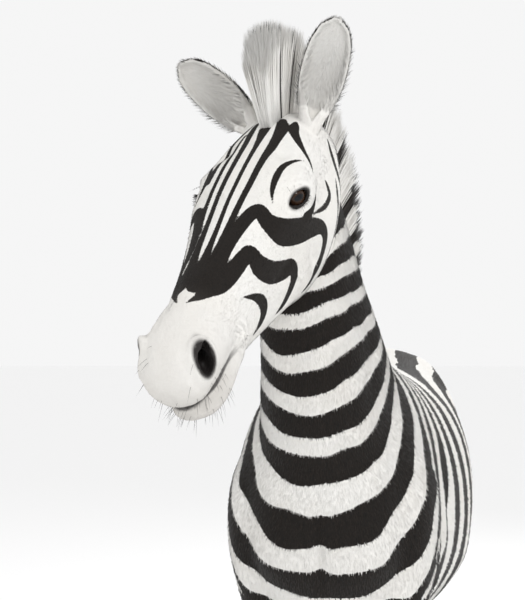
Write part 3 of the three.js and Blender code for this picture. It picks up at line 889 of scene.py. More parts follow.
def line_distance(flat, points):
    """How far each of many points of a plane is from a smooth line through a few."""
    row = refine(points, 6 * len(points) - 5)
    far = np.full(len(flat), 1e3)
    for a, b in zip(row[:-1], row[1:]):
        t = np.clip((flat - a) @ (b - a) / ((b - a) @ (b - a)), 0, 1)
        far = np.minimum(far, np.linalg.norm(flat - a - t[:, None] * (b - a), axis=1))
    return far


def folds(co):
    """How far the folds of lids, nostrils, lips and throat raise the skin of the head, in millimetres."""
    place = to_head(co)
    rise = np.zeros(len(co))
    wide = (np.abs(place[:, 1]) > 24) & (place[:, 0] > 200)
    flat = place[wide][:, [0, 2]]
    for amount, width, points in SIDE_LINES:
        rise[wide] += amount * np.exp(-(line_distance(flat, points) / width) ** 2)
    for left in (1, -1):
        w, u, v = along_axes(co, eye_centre(left), eye_axes(left))
        near = smooth_step(2, 12, w) * (np.abs(u) < 60) * (np.abs(v) < 60)
        for long, tall, upper, width, amount in EYE_FOLDS:
            far = (np.sqrt((u / long) ** 2 + (v / tall) ** 2) - 1) * tall
            arc = smooth_step(-0.15, 0.35, upper * v / tall)
            rise += near * arc * amount * np.exp(-(far / width) ** 2)
        w, u, v = along_axes(co, nostril_centre(left), nostril_axes(left))
        u -= NOSTRIL_UP
        near = smooth_step(-8, 2, w) * (np.abs(u) < 70) * (np.abs(v) < 60)
        far = (np.sqrt((u / 31) ** 2 + (v / 18.5) ** 2) - 1) * 18.5
        rise += near * (1.6 * np.exp(-(far / 4.5) ** 2) - 1.2 * np.exp(-((far - 13) / 5) ** 2))
    throat = smooth_step(-110, -190, place[:, 2])
    for behind, amount in THROAT_FOLDS:
        rise += throat * amount * np.exp(-((behind_jaw(place) - behind) / 6) ** 2) * (place[:, 0] < 160)
    muzzle = smooth_step(430, 520, place[:, 0])
    return rise + muzzle * (0.22 * ripple(co, 9, 51) + 0.16 * ripple(co, 5, 52))


def build_head(trunk):
    """The head with lids, nostrils, lips and ears, and the top of the neck, in fine mesh."""
    core = cut_by(linked("head_core", trunk.data.copy()), [half_space(False, -40)])
    fine = [head_loft(SKULL, 110, COAT_HEAD), head_loft(MUZZLE, 60, 1), head_loft(CHIN, 50, 1)]
    for left in (1, -1):
        fine += [*eye_surround(left), cheek_ridge(left)]
        fine.append(ellipsoid(nostril_centre(left), nostril_axes(left), (12.5, 37, 25)))
    head = voxel_skin(joined(core, [solid_object("fine", fine)]), HEAD_VOXEL * 1.2)

    # The head's own hollows and swellings, before the openings are cut.
    co = points_of(head)
    place = to_head(co)
    on_head = smooth_step(-40, 10, place[:, 0])
    moved = raised(co, normals_of(head), HEAD_FORMS, on_head=True)
    move_points(head, co + (moved - co) * on_head[:, None])
    firm = np.zeros(len(co))
    for side in (1, -1):
        firm = np.maximum(firm, bell(place, np.multiply(EYE_PLACE, (1, side, 1)), (46, 46, 46)))
        firm = np.maximum(firm, 0.6 * bell(place, np.multiply(NOSTRIL_PLACE, (1, side, 1)), (40, 40, 40)))
    smoothed(head, on_head * (1 - 0.8 * firm), 16)

    for name in EARS:
        outer, hollow = ear_solid(name)
        joined(head, [cut_by(solid_object("ear", [outer]), [hollow])])
    voxel_skin(head, HEAD_VOXEL)
    cuts = [mouth_slot()]
    for left in (1, -1):
        cuts += [ellipsoid(eye_centre(left), eye_axes(left), (EYE_RADIUS + 0.2,) * 3), almond(left)]
        cuts += nostril_hollow(left)
    cut_by(head, cuts)
    voxel_skin(joined(head, [solid_object("core", [mouth_core()])]), HEAD_VOXEL)
    smoothed(head, np.full(len(head.data.vertices), 0.5), 2)
    co = points_of(head)
    move_points(head, co + normals_of(head) * folds(co)[:, None])
    return cut_by(head, [half_space(False, -SEAM_LAP)])


def thinned(obj, keep, budget):
    """Fewer triangles: where keep is true they stay, and elsewhere they come down to the budget."""
    faces = triangles_of(obj)
    kept = int(keep[faces].all(1).sum())
    weight_group(obj, "keep", keep.astype(float))
    return applied(obj, "DECIMATE", ratio=min((kept + budget) / len(faces), 1), vertex_group="keep",
                   invert_vertex_group=True, vertex_group_factor=1.0, use_collapse_triangulate=True)


def halved(obj, choose, rounds):
    """Halve the edges that choose picks, from all points and the pairs of edge ends, in some rounds."""
    mesh = bmesh.new()
    mesh.from_mesh(obj.data)
    for _ in range(rounds):
        mesh.verts.ensure_lookup_table()
        co = stations(np.array([vertex.co[:] for vertex in mesh.verts]))
        mesh.verts.index_update()
        pairs = np.array([(edge.verts[0].index, edge.verts[1].index) for edge in mesh.edges])
        chosen = choose(co, pairs)
        edges = [edge for edge, wanted in zip(mesh.edges, chosen) if wanted]
        bmesh.ops.subdivide_edges(mesh, edges=edges, cuts=1)
        bmesh.ops.triangulate(mesh, faces=[face for face in mesh.faces if len(face.verts) > 3])
    mesh.to_mesh(obj.data)
    mesh.free()


def edges_over(co, pairs, limits):
    """Which edges are longer than the limit for the body, the legs or the face."""
    start, end = co[pairs[:, 0]], co[pairs[:, 1]]
    _, y, z = start.T
    on_leg = (z < LEG_REACH) & ((y < FORE_LEG_BACK_Y) | (y > HIND_LEG_FRONT_Y))
    limit = np.where(on_leg, limits[1], limits[0])
    limit = np.where(behind_jaw(to_head(start)) > 0, limits[2], limit)
    return np.linalg.norm(start - end, axis=1) > limit


TRUNK_VOXEL = 0.0055
HEAD_VOXEL = 0.0024
HEAD_TRIANGLES = 75000
BODY_TRIANGLES = 21000
LEG_TRIANGLES = 30000
# The height below which the skin is thinned as a leg, and the height up to which its edges are a leg's.
LEG_TOP, LEG_REACH = 700, 830
# Limits for an edge on the body, the legs and the face, in millimetres: for any edge, for one that crosses
# the edge of a band, and for one that may pass over a narrow band, whose mark may then be wrong by so much.
LONGEST_EDGES = (30, 14, 8)
BAND_EDGES = (23, 11, 5)
PASSING_EDGES = (9, 7, 4)
PASSING_ERROR = 2


def build_skin():
    """The one closed skin: the trunk in wider mesh, and the head in finer mesh."""
    skin = build_trunk()
    head = build_head(skin)
    cut_by(skin, [half_space(True)])
    skin.name = "skin"
    applied(skin, "BOOLEAN", operation="UNION", solver="MANIFOLD", object=head)
    bpy.data.objects.remove(head)
    co = points_of(skin)
    thinned(skin, (past_seam(co) > -2) | (co[:, 2] < LEG_TOP), BODY_TRIANGLES)
    thinned(skin, points_of(skin)[:, 2] >= LEG_TOP, LEG_TRIANGLES)
    thinned(skin, past_seam(points_of(skin)) <= -30, HEAD_TRIANGLES)
    halved(skin, lambda co, pairs: edges_over(co, pairs, LONGEST_EDGES), 3)
    return smoothed(skin, np.exp(-(past_seam(points_of(skin)) / 16) ** 2), 14)


skin = build_skin()
FLESH = [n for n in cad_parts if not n.startswith(("eye", "hoof"))]
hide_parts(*FLESH)

# For finding places on the skin, in the stations' millimetres.
skin_tree = BVHTree.FromPolygons([Vector(v) for v in points_of(skin)], triangles_of(skin).tolist())

# ---------------------------------------------------------------- places on the animal


def spine_curve():
    """The middle line from the poll to the rump: points, directions and lengths along it."""
    middles = [station[:3] for station in NECK[::-1]]
    middles += [(0, -190, 985), (0, 0, 962), (0, 200, 962), (0, 400, 985), (0, 700, 1010), (0, 900, 1010)]
    points = refine(middles, 160)
    steps = np.diff(points, axis=0)
    lengths = np.concatenate([[0], np.cumsum(np.linalg.norm(steps, axis=1))])
    return points, unit(np.gradient(points, axis=0)), lengths


SPINE, SPINE_WAY, SPINE_AT = spine_curve()
SPINE_BLUR = 80.0
POINTS_AT_ONCE = 20000


def along_spine(co):
    """How far along the middle line each point is, and which way the line runs there."""
    at, way = np.empty(len(co)), np.empty((len(co), 3))
    for start in range(0, len(co), POINTS_AT_ONCE):
        here = slice(start, start + POINTS_AT_ONCE)
        offset = co[here, None] - SPINE[None]
        far = np.einsum("ijk,ijk->ij", offset, offset)
        weight = np.exp((far.min(1)[:, None] - far) / (2 * SPINE_BLUR ** 2))
        weight /= weight.sum(1)[:, None]
        plane = SPINE_AT + np.einsum("ijk,jk->ij", offset, SPINE_WAY)
        at[here] = (weight * plane).sum(1)
        way[here] = weight @ SPINE_WAY
    return at, unit(way)


def ear_place(co, name):
    """Along an ear (0 at its root, 1 at its tip), across it and out of its cup, in millimetres."""
    up, across, out = along_axes(co, ear_root(name), ear_axes(name))
    t = up / EAR_LENGTH
    return t, across, out - EAR_CURL * t * t


def on_ear(co, name):
    """Which points lie on an ear."""
    t, across, out = ear_place(co, name)
    inside = (np.abs(across) < ear_half(t) + 8) & (out > -34) & (out < 30)
    return inside & (t > 0.07) & (t < 1.06)


# ---------------------------------------------------------------- markings


def on_skin(points):
    """A drawn line of head coordinates and half widths, filled in and laid on the skin."""
    rows = refine(points, 4 * len(points) - 3)
    for row in rows:
        hit = skin_tree.find_nearest(Vector(head_point(*row[:3])))[0]
        row[:3] = to_head(np.array(hit))
    return rows


def within(place, rows):
    """How far inside a stripe along a line each place is, in millimetres."""
    best = np.full(len(place), -1e3)
    for (*a, wa), (*b, wb) in zip(rows[:-1], rows[1:]):
        a, b = np.array(a), np.array(b)
        step = b - a
        t = np.clip((place - a) @ step / max(step @ step, 1e-6), 0, 1)
        best = np.maximum(best, wa + (wb - wa) * t - np.linalg.norm(place - a - t[:, None] * step, axis=1))
    return best


# Stripes of the face: along, left, above and half width. The first three lie along the middle.
FACE_MIDDLE = [
    [(34, -27, 0, 5), (60, -25, 4, 6.5), (103, -20, 10, 5.6), (152, -19, 12, 5), (209, -21, 8, 5),
     (280, -19, -1, 5), (340, -16, -7, 6.8), (385, -14, -11, 11), (414, -20, -18, 16)],
    [(34, -2, 4, 8), (60, 0, 7, 10.5), (100, 4, 10, 6), (140, 5, 12, 4.4), (200, 4, 9, 4), (256, 3, 4, 4),
     (310, 4, -3, 4.8), (350, 5, -8, 6.6), (384, 8, -12, 11), (414, 9, -14, 13)],
    [(34, 21, 3, 8), (62, 31, 5, 11.5), (102, 34, 8, 9), (165, 31, 10, 6.4), (203, 29, 7, 6),
     (260, 24, 1, 5.6), (318, 21, -6, 5.8), (359, 22, -11, 8), (394, 25, -16, 14)],
]
FACE_RIGHT = [
    [(48, -46, -2, 4), (80, -52, -2, 5.5), (112, -56, -2, 5.5), (150, -55, 4, 5), (190, -56, 2, 3)],
    [(70, -36, 5, 2), (122, -36, 9, 3.6), (170, -38, 9, 4), (215, -39, 5, 4.2), (262, -38, 0, 4.8),
     (300, -37, -7, 5)],
]
FACE_SIDES = [
    # The first chevron: its arm beside the nose, and its arm under the eye and down the jaw.
    [(391, 34, -21, 6), (344, 33, -13, 8), (300, 38, -8, 10.5), (266, 47, -6, 12), (252, 58, -8, 11),
     (263, 71, -26, 15), (254, 81, -54, 22), (221, 86, -83, 22), (183, 87, -110, 17), (156, 88, -134, 12),
     (152, 82, -160, 10.5), (168, 73, -182, 11), (194, 62, -200, 9), (222, 56, -206, 5),
     (240, 50, -206, 0.6)],
    [(138, 92, -74, 0.6), (150, 92, -80, 4), (170, 92, -84, 6), (191, 90, -80, 8)],
    # The second chevron, whose front arm runs along the edge of the muzzle.
    [(448, 8, -15, 1.1), (427, 23, -21, 7), (401, 39, -29, 12), (373, 46, -32, 14), (340, 53, -32, 13),
     (321, 58, -33, 10.5), (323, 63, -60, 17), (306, 66, -92, 19), (279, 68, -113, 17.5), (260, 72, -124, 13),
     (258, 68, -144, 10.5), (272, 60, -162, 9.5), (292, 50, -174, 7), (316, 43, -176, 1.2)],
    # The leaf behind the corner of the mouth.
    [(380, 54, -72, 0.9), (358, 56, -94, 6.5), (346, 55, -116, 10.5), (347, 50, -137, 10.5),
     (361, 43, -150, 8), (382, 38, -154, 1.5)],
    # Behind the eye and the jaw.
    [(92, 88, -84, 1), (92, 88, -100, 5), (98, 89, -116, 6.5), (126, 90, -114, 5.5), (152, 91, -102, 3),
     (167, 91, -94, 0.6)],
    [(48, 80, -118, 1), (58, 80, -140, 7), (70, 77, -166, 8.5), (92, 70, -192, 8), (124, 62, -216, 6.5),
     (160, 52, -228, 3.5), (186, 46, -228, 0.6)],
    [(6, 76, -64, 2), (22, 84, -84, 6.5), (28, 84, -112, 6.5), (24, 76, -150, 6), (26, 66, -186, 5),
     (50, 52, -226, 2)],
    # Over the brow and round the eye.
    [(30, 44, -4, 3), (44, 47, -3, 8), (62, 52, -4, 8.5), (80, 63, -8, 7), (98, 77, -17, 5),
     (112, 88, -31, 3.4), (124, 93, -45, 0.6)],
    [(121, 87, -18, 0.6), (139, 77, -5, 3.4), (160, 68, 0, 5.4), (188, 66, 0, 5.6), (214, 68, -5, 3.4),
     (233, 73, -13, 0.6)],
]

BAND_AT = [0, 140, 330, 560, 760, 1000, 1260]
BAND_SPACING = [50, 54, 60, 74, 92, 104, 108]
PIVOT_Y, PIVOT_Z = 620, 705
PIVOT_AT = float(np.interp(PIVOT_Y, SPINE[:, 1], SPINE_AT))
LEG_SPACING = [(0, 62), (120, 56), (300, 44), (600, 33), (760, 30)]
FORELEG_SPACING = [(0, 60), (180, 58), (300, 54), (480, 43), (780, 33), (940, 30), (1080, 28)]
FORK_Y, FORK_Z, FORK_SLOPE = -415, 1010, 0.42
CHEVRON_TOP = 952
# The spacing of the bands along the neck, and on along the body and down the hind legs.
NECK_TABLE = [row for row in zip(BAND_AT, BAND_SPACING) if row[0] < PIVOT_AT - 40]
BODY_TABLE = NECK_TABLE + [(PIVOT_AT + d, gap) for d, gap in LEG_SPACING]
BAND_START = 0.2
DOCK_FRONT, DOCK_TOP, DOCK_HALF_WIDTH = 742, 1185, 45


def cycles(at, table):
    """Bands counted along a length whose spacing changes, and the spacing there."""
    table = np.array(table, float)
    fine = np.linspace(table[0, 0], table[-1, 0], 600)
    spacing = np.interp(fine, table[:, 0], table[:, 1])
    count = np.concatenate([[0], np.cumsum(np.diff(fine) / ((spacing[1:] + spacing[:-1]) / 2))])
    return np.interp(at, fine, count), np.interp(at, table[:, 0], table[:, 1])


def banded(phase, spacing, share):
    """How far inside a dark band each point is, in millimetres."""
    return (share / 2 - np.abs(phase - np.floor(phase) - 0.5)) * spacing


def wavering(co, at, table, share):
    """Bands along a length, with edges that waver: how far inside a dark one each point is."""
    wobble = 6 * ripple(co, 210, 3) + 2.5 * ripple(co, 70, 4)
    phase, spacing = cycles(at + wobble, table)
    return banded(phase + BAND_START, spacing, share)


def trunk_marks(co, at):
    """Bands round neck and barrel that turn level over the haunch and go on down the legs."""
    x, y, z = co.T
    thigh = smooth_step(380, 460, y) * fade(640, 800, z)
    ahead = np.maximum(PIVOT_Y - y, 0) * (1 - thigh)
    croup = smooth_step(1040, 1240, z) * smooth_step(0, 300, y) * np.maximum(195 - np.abs(x), 0)
    over = np.maximum(0.9 * (z - PIVOT_Z) + 0.72 * croup, 0)
    reach = (ahead ** 3 + over ** 3) ** (1 / 3) + np.minimum(z - PIVOT_Z, 0) * smooth_step(380, 460, y)
    rear = smooth_step(-160, 160, y)
    eff = at * (1 - rear) + (PIVOT_AT - reach) * rear
    share = 0.58 - 0.06 * smooth_step(400, 700, at) + 0.05 * ripple(co, 130, 5)
    belly = fade(690, 860, z) * fade(300, 420, y) * smooth_step(-330, -230, y)
    share -= 0.2 * belly
    marks = wavering(co, eff, BODY_TABLE, share)

    # The forelegs' level bands stand in chevrons under a fork of the shoulder's bands.
    fork = FORK_SLOPE * (FORK_Z - z) - np.abs(y - FORK_Y)
    arch = 0.75 * np.abs(y - FORK_Y) * smooth_step(700, 850, z)
    leg_phase, leg_spacing = cycles(1040 - z - arch + 5 * ripple(co, 120, 6), FORELEG_SPACING)
    leg = np.maximum(banded(leg_phase, leg_spacing, 0.52 + 0.05 * ripple(co, 90, 7)), z - CHEVRON_TOP)
    on_leg = np.maximum(0.92 * fork, 0.8 * (795 - z))
    below = np.minimum(0.8 * (640 - z), BETWEEN_LEGS_Y - y)
    on_leg = np.minimum(on_leg, np.maximum(FORE_LEG_BACK_Y - y, below))
    marks = np.where(on_leg > 0, leg, marks)
    edge = 11 + 2 * ripple(co, 60, 8) - np.abs(0.92 * fork) - 40 * fade(785, 800, z)
    marks = np.maximum(marks, edge)

    # Between the long bands of the croup only the stripe down the back is dark.
    on_croup = smooth_step(200, 240, y) * fade(600, 660, y) * smooth_step(1100, 1160, z)
    marks -= 90 * fade(30, 60, np.abs(x)) * on_croup
    ridge = 8 - np.abs(x) - 30 * fade(1150, 1200, z) - 30 * fade(-260, -200, y)
    keel = 11 - np.abs(x) - 40 * smooth_step(700, 760, z) - 40 * fade(-260, -200, y)
    keel -= 40 * smooth_step(320, 380, y)
    marks = np.maximum(marks, np.maximum(ridge, keel))
    inner = fade(60, 96, np.abs(x)) * fade(640, 720, z) * smooth_step(150, 400, z)
    return marks - 5 * inner


def on_dock(co):
    """Which points lie on the bare part of the tail."""
    x, y, z = co.T
    return (y > DOCK_FRONT) & (z < DOCK_TOP) & (np.abs(x) < DOCK_HALF_WIDTH)


def tail_marks(co):
    z = co[:, 2]
    phase, spacing = cycles(1200 - z, [(0, 40), (300, 32), (600, 30)])
    return np.maximum(banded(phase, spacing, 0.4), (940 - z) * 0.3)


def ear_marks(co, normals, name):
    """Dark bars on an ear's back and a dark edge round its cup."""
    t, across, _ = ear_place(co, name)
    edge = ear_half(t) - np.abs(across)
    back = np.maximum(14 - np.abs(t - 0.80) * EAR_LENGTH, 16 - np.abs(t - 0.26) * EAR_LENGTH)
    rim = 2.6 - edge + 3 * (t - 0.6)
    return np.where(normals @ ear_axes(name)[2] < -0.05, back, rim)


MIRROR = (1, -1, 1, 1)
FACE_LINES = [on_skin(points) for points in FACE_MIDDLE + FACE_RIGHT + FACE_SIDES]
FACE_LINES += [on_skin(np.array(points) * MIRROR) for points in FACE_SIDES]
# Gaps between the face's lines that are narrower than about this, in millimetres, are filled.
FACE_MELT = 2.6


def face_marks(place):
    marks = np.full(len(place), -1e3)
    for rows in FACE_LINES:
        marks = FACE_MELT * np.logaddexp(marks / FACE_MELT, within(place, rows) / FACE_MELT)
    return marks


def bare_skin(co, place):
    """Where the skin is dark and bare: the rims of the eyes, the nostrils and the edges of the lips."""
    bare = np.zeros(len(co))
    for left in (1, -1):
        w, u, v = along_axes(co, eye_front(left), eye_axes(left))
        rim = np.sqrt((u / 24) ** 2 + (v / np.where(v > 0, 15, 12)) ** 2)
        bare = np.maximum(bare, fade(0.95, 1.3, rim) * smooth_step(-16, -8, w))
        axes = nostril_axes(left)
        _, u, v = along_axes(co - nostril_centre(left), axes[0] * 6, axes)
        hole = np.sqrt(((u - NOSTRIL_UP) / 31) ** 2 + (v / 18) ** 2)
        bare = np.maximum(bare, fade(0.84, 1.10, hole) * smooth_step(470, 490, place[:, 0]))
    lip = np.abs(place[:, 2] - MOUTH_LEVEL) - 2
    on_lip = smooth_step(MOUTH_CORNER - 8, MOUTH_CORNER + 40, place[:, 0])
    return np.maximum(bare, fade(0.5, 4.5, lip) * on_lip * 0.9)


def markings(co, normals):
    """For each point: how far inside a dark stripe it is, dark bare skin, and the muzzle's grey."""
    at, _ = along_spine(co)
    place = to_head(co)
    marks = trunk_marks(co, at)
    head = smooth_step(-8, 8, behind_jaw(place))
    chosen = head > 0
    face = np.full(len(co), -10.0)
    face[chosen] = np.maximum(face_marks(place[chosen]), -10)
    marks = np.where(chosen, np.clip(marks, -10, 10) * (1 - head) + face * head, marks)
    for name in EARS:
        here = on_ear(co, name)
        marks[here] = ear_marks(co[here], normals[here], name)
    dock = on_dock(co)
    marks[dock] = tail_marks(co[dock])
    grey = smooth_step(400, 520, place[:, 0]) * (0.35 + 0.65 * smooth_step(-60, -130, place[:, 2]))
    return marks, bare_skin(co, place) * (head > 0.5), grey * (head > 0.5)


# ---------------------------------------------------------------- materials


class Shading:
    """A new material, with short calls for the nodes that shade it."""

    def __init__(self, name):
        self.material = bpy.data.materials.new(name)
        self.material.use_nodes = True
        self.tree = self.material.node_tree

    def put(self, socket, value):
        """A link into a socket, or a fixed value on it."""
        if isinstance(value, bpy.types.NodeSocket):
            self.tree.links.new(value, socket)
        else:
            socket.default_value = value

    def node(self, kind, inputs=(), **settings):
        made = self.tree.nodes.new("ShaderNode" + kind)
        for key, value in settings.items():
            setattr(made, key, value)
        for key, value in dict(inputs).items():
            self.put(made.inputs[key], value)
        return made

    def stored(self, key):
        """A value that the mesh has for each point."""
        return self.node("Attribute", attribute_name=key).outputs["Fac"]

    def place(self):
        return self.node("TexCoord").outputs["Object"]

    def noise(self, vector, scale, detail):
        return self.node("TexNoise", {"Vector": vector, "Scale": scale, "Detail": detail}).outputs["Fac"]

    def math(self, operation, *values):
        return self.node("Math", dict(enumerate(values)), operation=operation).outputs[0]

    def ramp(self, value, low, high, first=0, last=1, kind="LINEAR"):
        """The value from low to high, as one from first to last."""
        inputs = {"Value": value, "From Min": low, "From Max": high, "To Min": first, "To Max": last}
        return self.node("MapRange", inputs, interpolation_type=kind).outputs["Result"]

    def mixed(self, factor, a, b):
        """One colour turning into another; a Mix node has its sockets for colours at these places."""
        mix = self.node("Mix", data_type="RGBA")
        for socket, value in ((0, factor), (6, a), (7, b)):
            self.put(mix.inputs[socket], value)
        return mix.outputs[2]

    def bump(self, height, strength, distance):
        inputs = {"Height": height, "Strength": strength, "Distance": distance}
        return self.node("Bump", inputs).outputs[0]

    def shade(self, inputs):
        """The material, with its shader's inputs set by name."""
        for key, value in inputs.items():
            self.put(self.tree.nodes["Principled BSDF"].inputs[key], value)
        return self.material


WHITE_HAIR = (0.88, 0.87, 0.845, 1)
WHITE_HAIR_DIM = (0.80, 0.785, 0.75, 1)
WHITE_HAIR_WARM = (0.60, 0.53, 0.44, 1)
BLACK_HAIR = (0.006, 0.0055, 0.005, 1)
BLACK_HAIR_WARM = (0.020, 0.015, 0.012, 1)
BARE_SKIN = (0.022, 0.019, 0.018, 1)
MUZZLE_GREY = (0.42, 0.39, 0.36, 1)


def coat_material(name, tufts):
    """Short hair: matte, streaked, black or white by the mark; the skin under it has a finer bump."""
    make = Shading(name)
    place = make.place()
    fine = make.noise(place, 420, 3)
    broad = make.noise(place, 9, 3)
    edge = 1.2 if tufts else 2.2
    moved = make.math("MULTIPLY_ADD", fine, edge, make.stored("mark"))
    dark = make.ramp(moved, edge / 2 - 0.6, edge / 2 + 0.6, kind="SMOOTHSTEP")
    tone = make.stored("tone") if tufts else fine
    white = make.mixed(tone, WHITE_HAIR_DIM, WHITE_HAIR)
    white = make.mixed(make.ramp(broad, 0.35, 0.75, 0, 0.16), white, WHITE_HAIR_WARM)
    colour = make.mixed(dark, white, make.mixed(tone, BLACK_HAIR, BLACK_HAIR_WARM))
    colour = make.mixed(make.math("MULTIPLY", make.stored("grey"), 0.5), colour, MUZZLE_GREY)
    bare = make.stored("bare")
    inputs = {
        "Base Color": make.mixed(bare, colour, BARE_SKIN),
        "Roughness": make.ramp(bare, 0, 1, 0.62 if tufts else 0.8, 0.38),
        "Specular IOR Level": 0.2,
        "Sheen Weight": 0.04,
        "Sheen Roughness": 0.5,
    }
    if not tufts:
        flow = make.node("Attribute", attribute_name="flow").outputs["Vector"]
        along = make.node("Mapping", {"Vector": flow, "Scale": (90, 760, 1)}).outputs[0]
        inputs["Normal"] = make.bump(make.math("ADD", fine, make.noise(along, 1.0, 3)), 0.35, 0.0012)
    return make.shade(inputs)


def set_attribute(mesh, name, values):
    attribute = mesh.attributes.new(name, "FLOAT", "POINT")
    attribute.data.foreach_set("value", np.ascontiguousarray(values, np.float32))


SKIN_COAT = coat_material("skin_coat", False)
TUFT_COAT = coat_material("tuft_coat", True)


def across_bands(co, pairs):
    """Which edges cross the edge of a band and are long for their place, or pass over a narrow band."""
    marks = markings(co, np.zeros_like(co))[0]
    start, end = marks[pairs[:, 0]], marks[pairs[:, 1]]
    chosen = (start * end < 0) & edges_over(co, pairs, BAND_EDGES)
    unsure = np.nonzero(~chosen & edges_over(co, pairs, PASSING_EDGES))[0]
    middle = (co[pairs[unsure, 0]] + co[pairs[unsure, 1]]) / 2
    there = markings(middle, np.zeros_like(middle))[0]
    expected = (start[unsure] + end[unsure]) / 2
    chosen[unsure] = (there * expected < 0) & (np.abs(there - expected) > PASSING_ERROR)
    return chosen


# The skin gets smaller triangles where the edge of a band crosses it, and is then final.
halved(skin, across_bands, 2)
skin_co = points_of(skin)
skin_normals = normals_of(skin)
skin_faces = triangles_of(skin)
skin_marks, skin_bare, skin_grey = markings(skin_co, skin_normals)
for attribute_name, attribute_values in (("mark", skin_marks), ("bare", skin_bare), ("grey", skin_grey)):
    set_attribute(skin.data, attribute_name, attribute_values)
skin.data.materials.clear()
skin.data.materials.append(SKIN_COAT)
skin.data.polygons.foreach_set("use_smooth", np.ones(len(skin.data.polygons), bool))

# ---------------------------------------------------------------- the lie of the coat

TORSO_AXIS_Z = 965
# A plane across the base of the neck: what is ahead of it belongs to the neck.
SPINE_CUT = -axes_at(2, 40)[0]
SPINE_SEAM = float(np.array([0, -470, 1130.0]) @ SPINE_CUT)


def region_of(co):
    """Which part of the coat each point is in, by name."""
    place = to_head(co)
    name = np.full(len(co), "torso", dtype="<U12")
    name[SPINE_SEAM > co @ SPINE_CUT] = "neck"
    name[behind_jaw(place) > 0] = "head"
    x, y, z = co.T
    below = np.where(y < BETWEEN_LEGS_Y, 735 + 0.25 * np.abs(y + 410), 790 + 0.2 * np.abs(y - 530))
    name[(z < below) & (np.abs(x) > 30) & (z < LEG_REACH)] = "leg"
    name[on_dock(co)] = "dock"
    for ear in EARS:
        name[on_ear(co, ear)] = "ear"
    return name


def turned(share, sideways, upright):
    """A place on an unwrap: how far along, and how far round."""
    return np.stack([share, np.arctan2(sideways, upright) / (2 * np.pi) + 0.5], 1)


def unwrap(co, region):
    """Two coordinates from 0 to 1 on an unwrap of the skin's own shape, for one region."""
    x, y, z = co.T
    if region == "head":
        along, left, above = to_head(co).T
        return turned((along + 60) / 650, left, above + 95)
    if region == "neck":
        at, way = along_spine(co)
        offset = co - between(at, SPINE_AT, SPINE)
        side = unit(np.cross(way, UP))
        return turned((at + 80) / 900, (offset * side).sum(1), (offset * np.cross(side, way)).sum(1))
    if region == "torso":
        return turned((y + 700) / 1500, x, z - TORSO_AXIS_Z)
    if region == "dock":
        return turned((z - 600) / 620, x, y - 778)
    found = np.zeros((len(co), 2))
    if region == "ear":
        for k, ear in enumerate(EARS):
            here = on_ear(co, ear)
            t, across, out = ear_place(co[here], ear)
            found[here] = turned((t * 0.9 + k) / 2, across, out + 6)
        return found
    for k, leg in enumerate(LEGS.values()):
        here = (x * leg["left"] > 0) & ((y < BETWEEN_LEGS_Y) == (leg["rows"] is FORE_LEG))
        middle_x, middle_y = leg_middle(leg, z[here])
        found[here] = turned((z[here] / 900 * 0.98 + k) / 4, x[here] - middle_x, y[here] - middle_y)
    return found


def lie(co, normals, region):
    """Which way the hair lies on the skin: unit vectors in its surface."""
    x, y, _ = co.T
    if region in ("neck", "torso"):
        _, way = along_spine(co)
        down = 0.30 + 0.5 * smooth_step(-330, -480, y) + 0.25 * smooth_step(500, 700, y)
        flow = way - UP * down[:, None]
    elif region == "head":
        place = to_head(co)
        side = np.sign(place[:, 1])[:, None] * HEAD_S
        back = smooth_step(260, 60, place[:, 0]) * smooth_step(-50, -110, place[:, 2])
        flow = HEAD_F * (0.9 - 1.3 * back)[:, None] + side * 0.16 - HEAD_U * (0.18 + 0.5 * back)[:, None]
    elif region == "ear":
        flow = np.zeros((len(co), 3))
        for ear in EARS:
            here = on_ear(co, ear)
            grow, across, out = ear_axes(ear)
            _, u, _ = ear_place(co[here], ear)
            in_cup = (normals[here] @ out > 0)[:, None]
            flow[here] = grow - across * (0.02 * u)[:, None] * in_cup + out * 0.5 * in_cup
    else:
        flow = np.stack([0 * x, 0.25 + 0 * x, -1 + 0 * x], 1)
    flow = flow + 0.10 * np.stack([ripple(co, 60, 31), ripple(co, 60, 32), ripple(co, 60, 33)], 1)
    flow = flow - normals * (flow * normals).sum(1)[:, None]
    return unit(flow)


# ---------------------------------------------------------------- tufts


# Cells of the skin, in millimetres, and the bits that count them along each axis.
CELL_SIZE, CELL_BITS = 6, 10


def spread_over(faces, weights, count):
    """Evenly spread points on faces of the skin: face, shares of its corners, place and normal."""
    a, b, c = skin_co[faces[:, 0]], skin_co[faces[:, 1]], skin_co[faces[:, 2]]
    area = np.linalg.norm(np.cross(b - a, c - a), axis=1) * weights
    # Faces that are near one another get codes that are too, so that even steps cover the skin evenly.
    cell = ((a + b + c) / 3 / CELL_SIZE).astype(np.int64) + 2 ** (CELL_BITS - 1)
    code = np.zeros(len(faces), np.int64)
    for bit in range(CELL_BITS):
        for axis in range(3):
            code |= ((cell[:, axis] >> bit) & 1) << (3 * bit + axis)
    order = np.argsort(code, kind="stable")
    total = np.cumsum(area[order])
    pick = (np.arange(count) + rng.random(count)) / count * total[-1]
    face = faces[order[np.minimum(np.searchsorted(total, pick), len(order) - 1)]]
    u, v = rng.random(count), rng.random(count)
    flip = u + v > 1
    u[flip], v[flip] = 1 - u[flip], 1 - v[flip]
    corner = np.stack([1 - u - v, u, v], 1)
    root = np.einsum("ij,ijk->ik", corner, skin_co[face])
    return face, corner, root, unit(np.einsum("ij,ijk->ik", corner, skin_normals[face]))


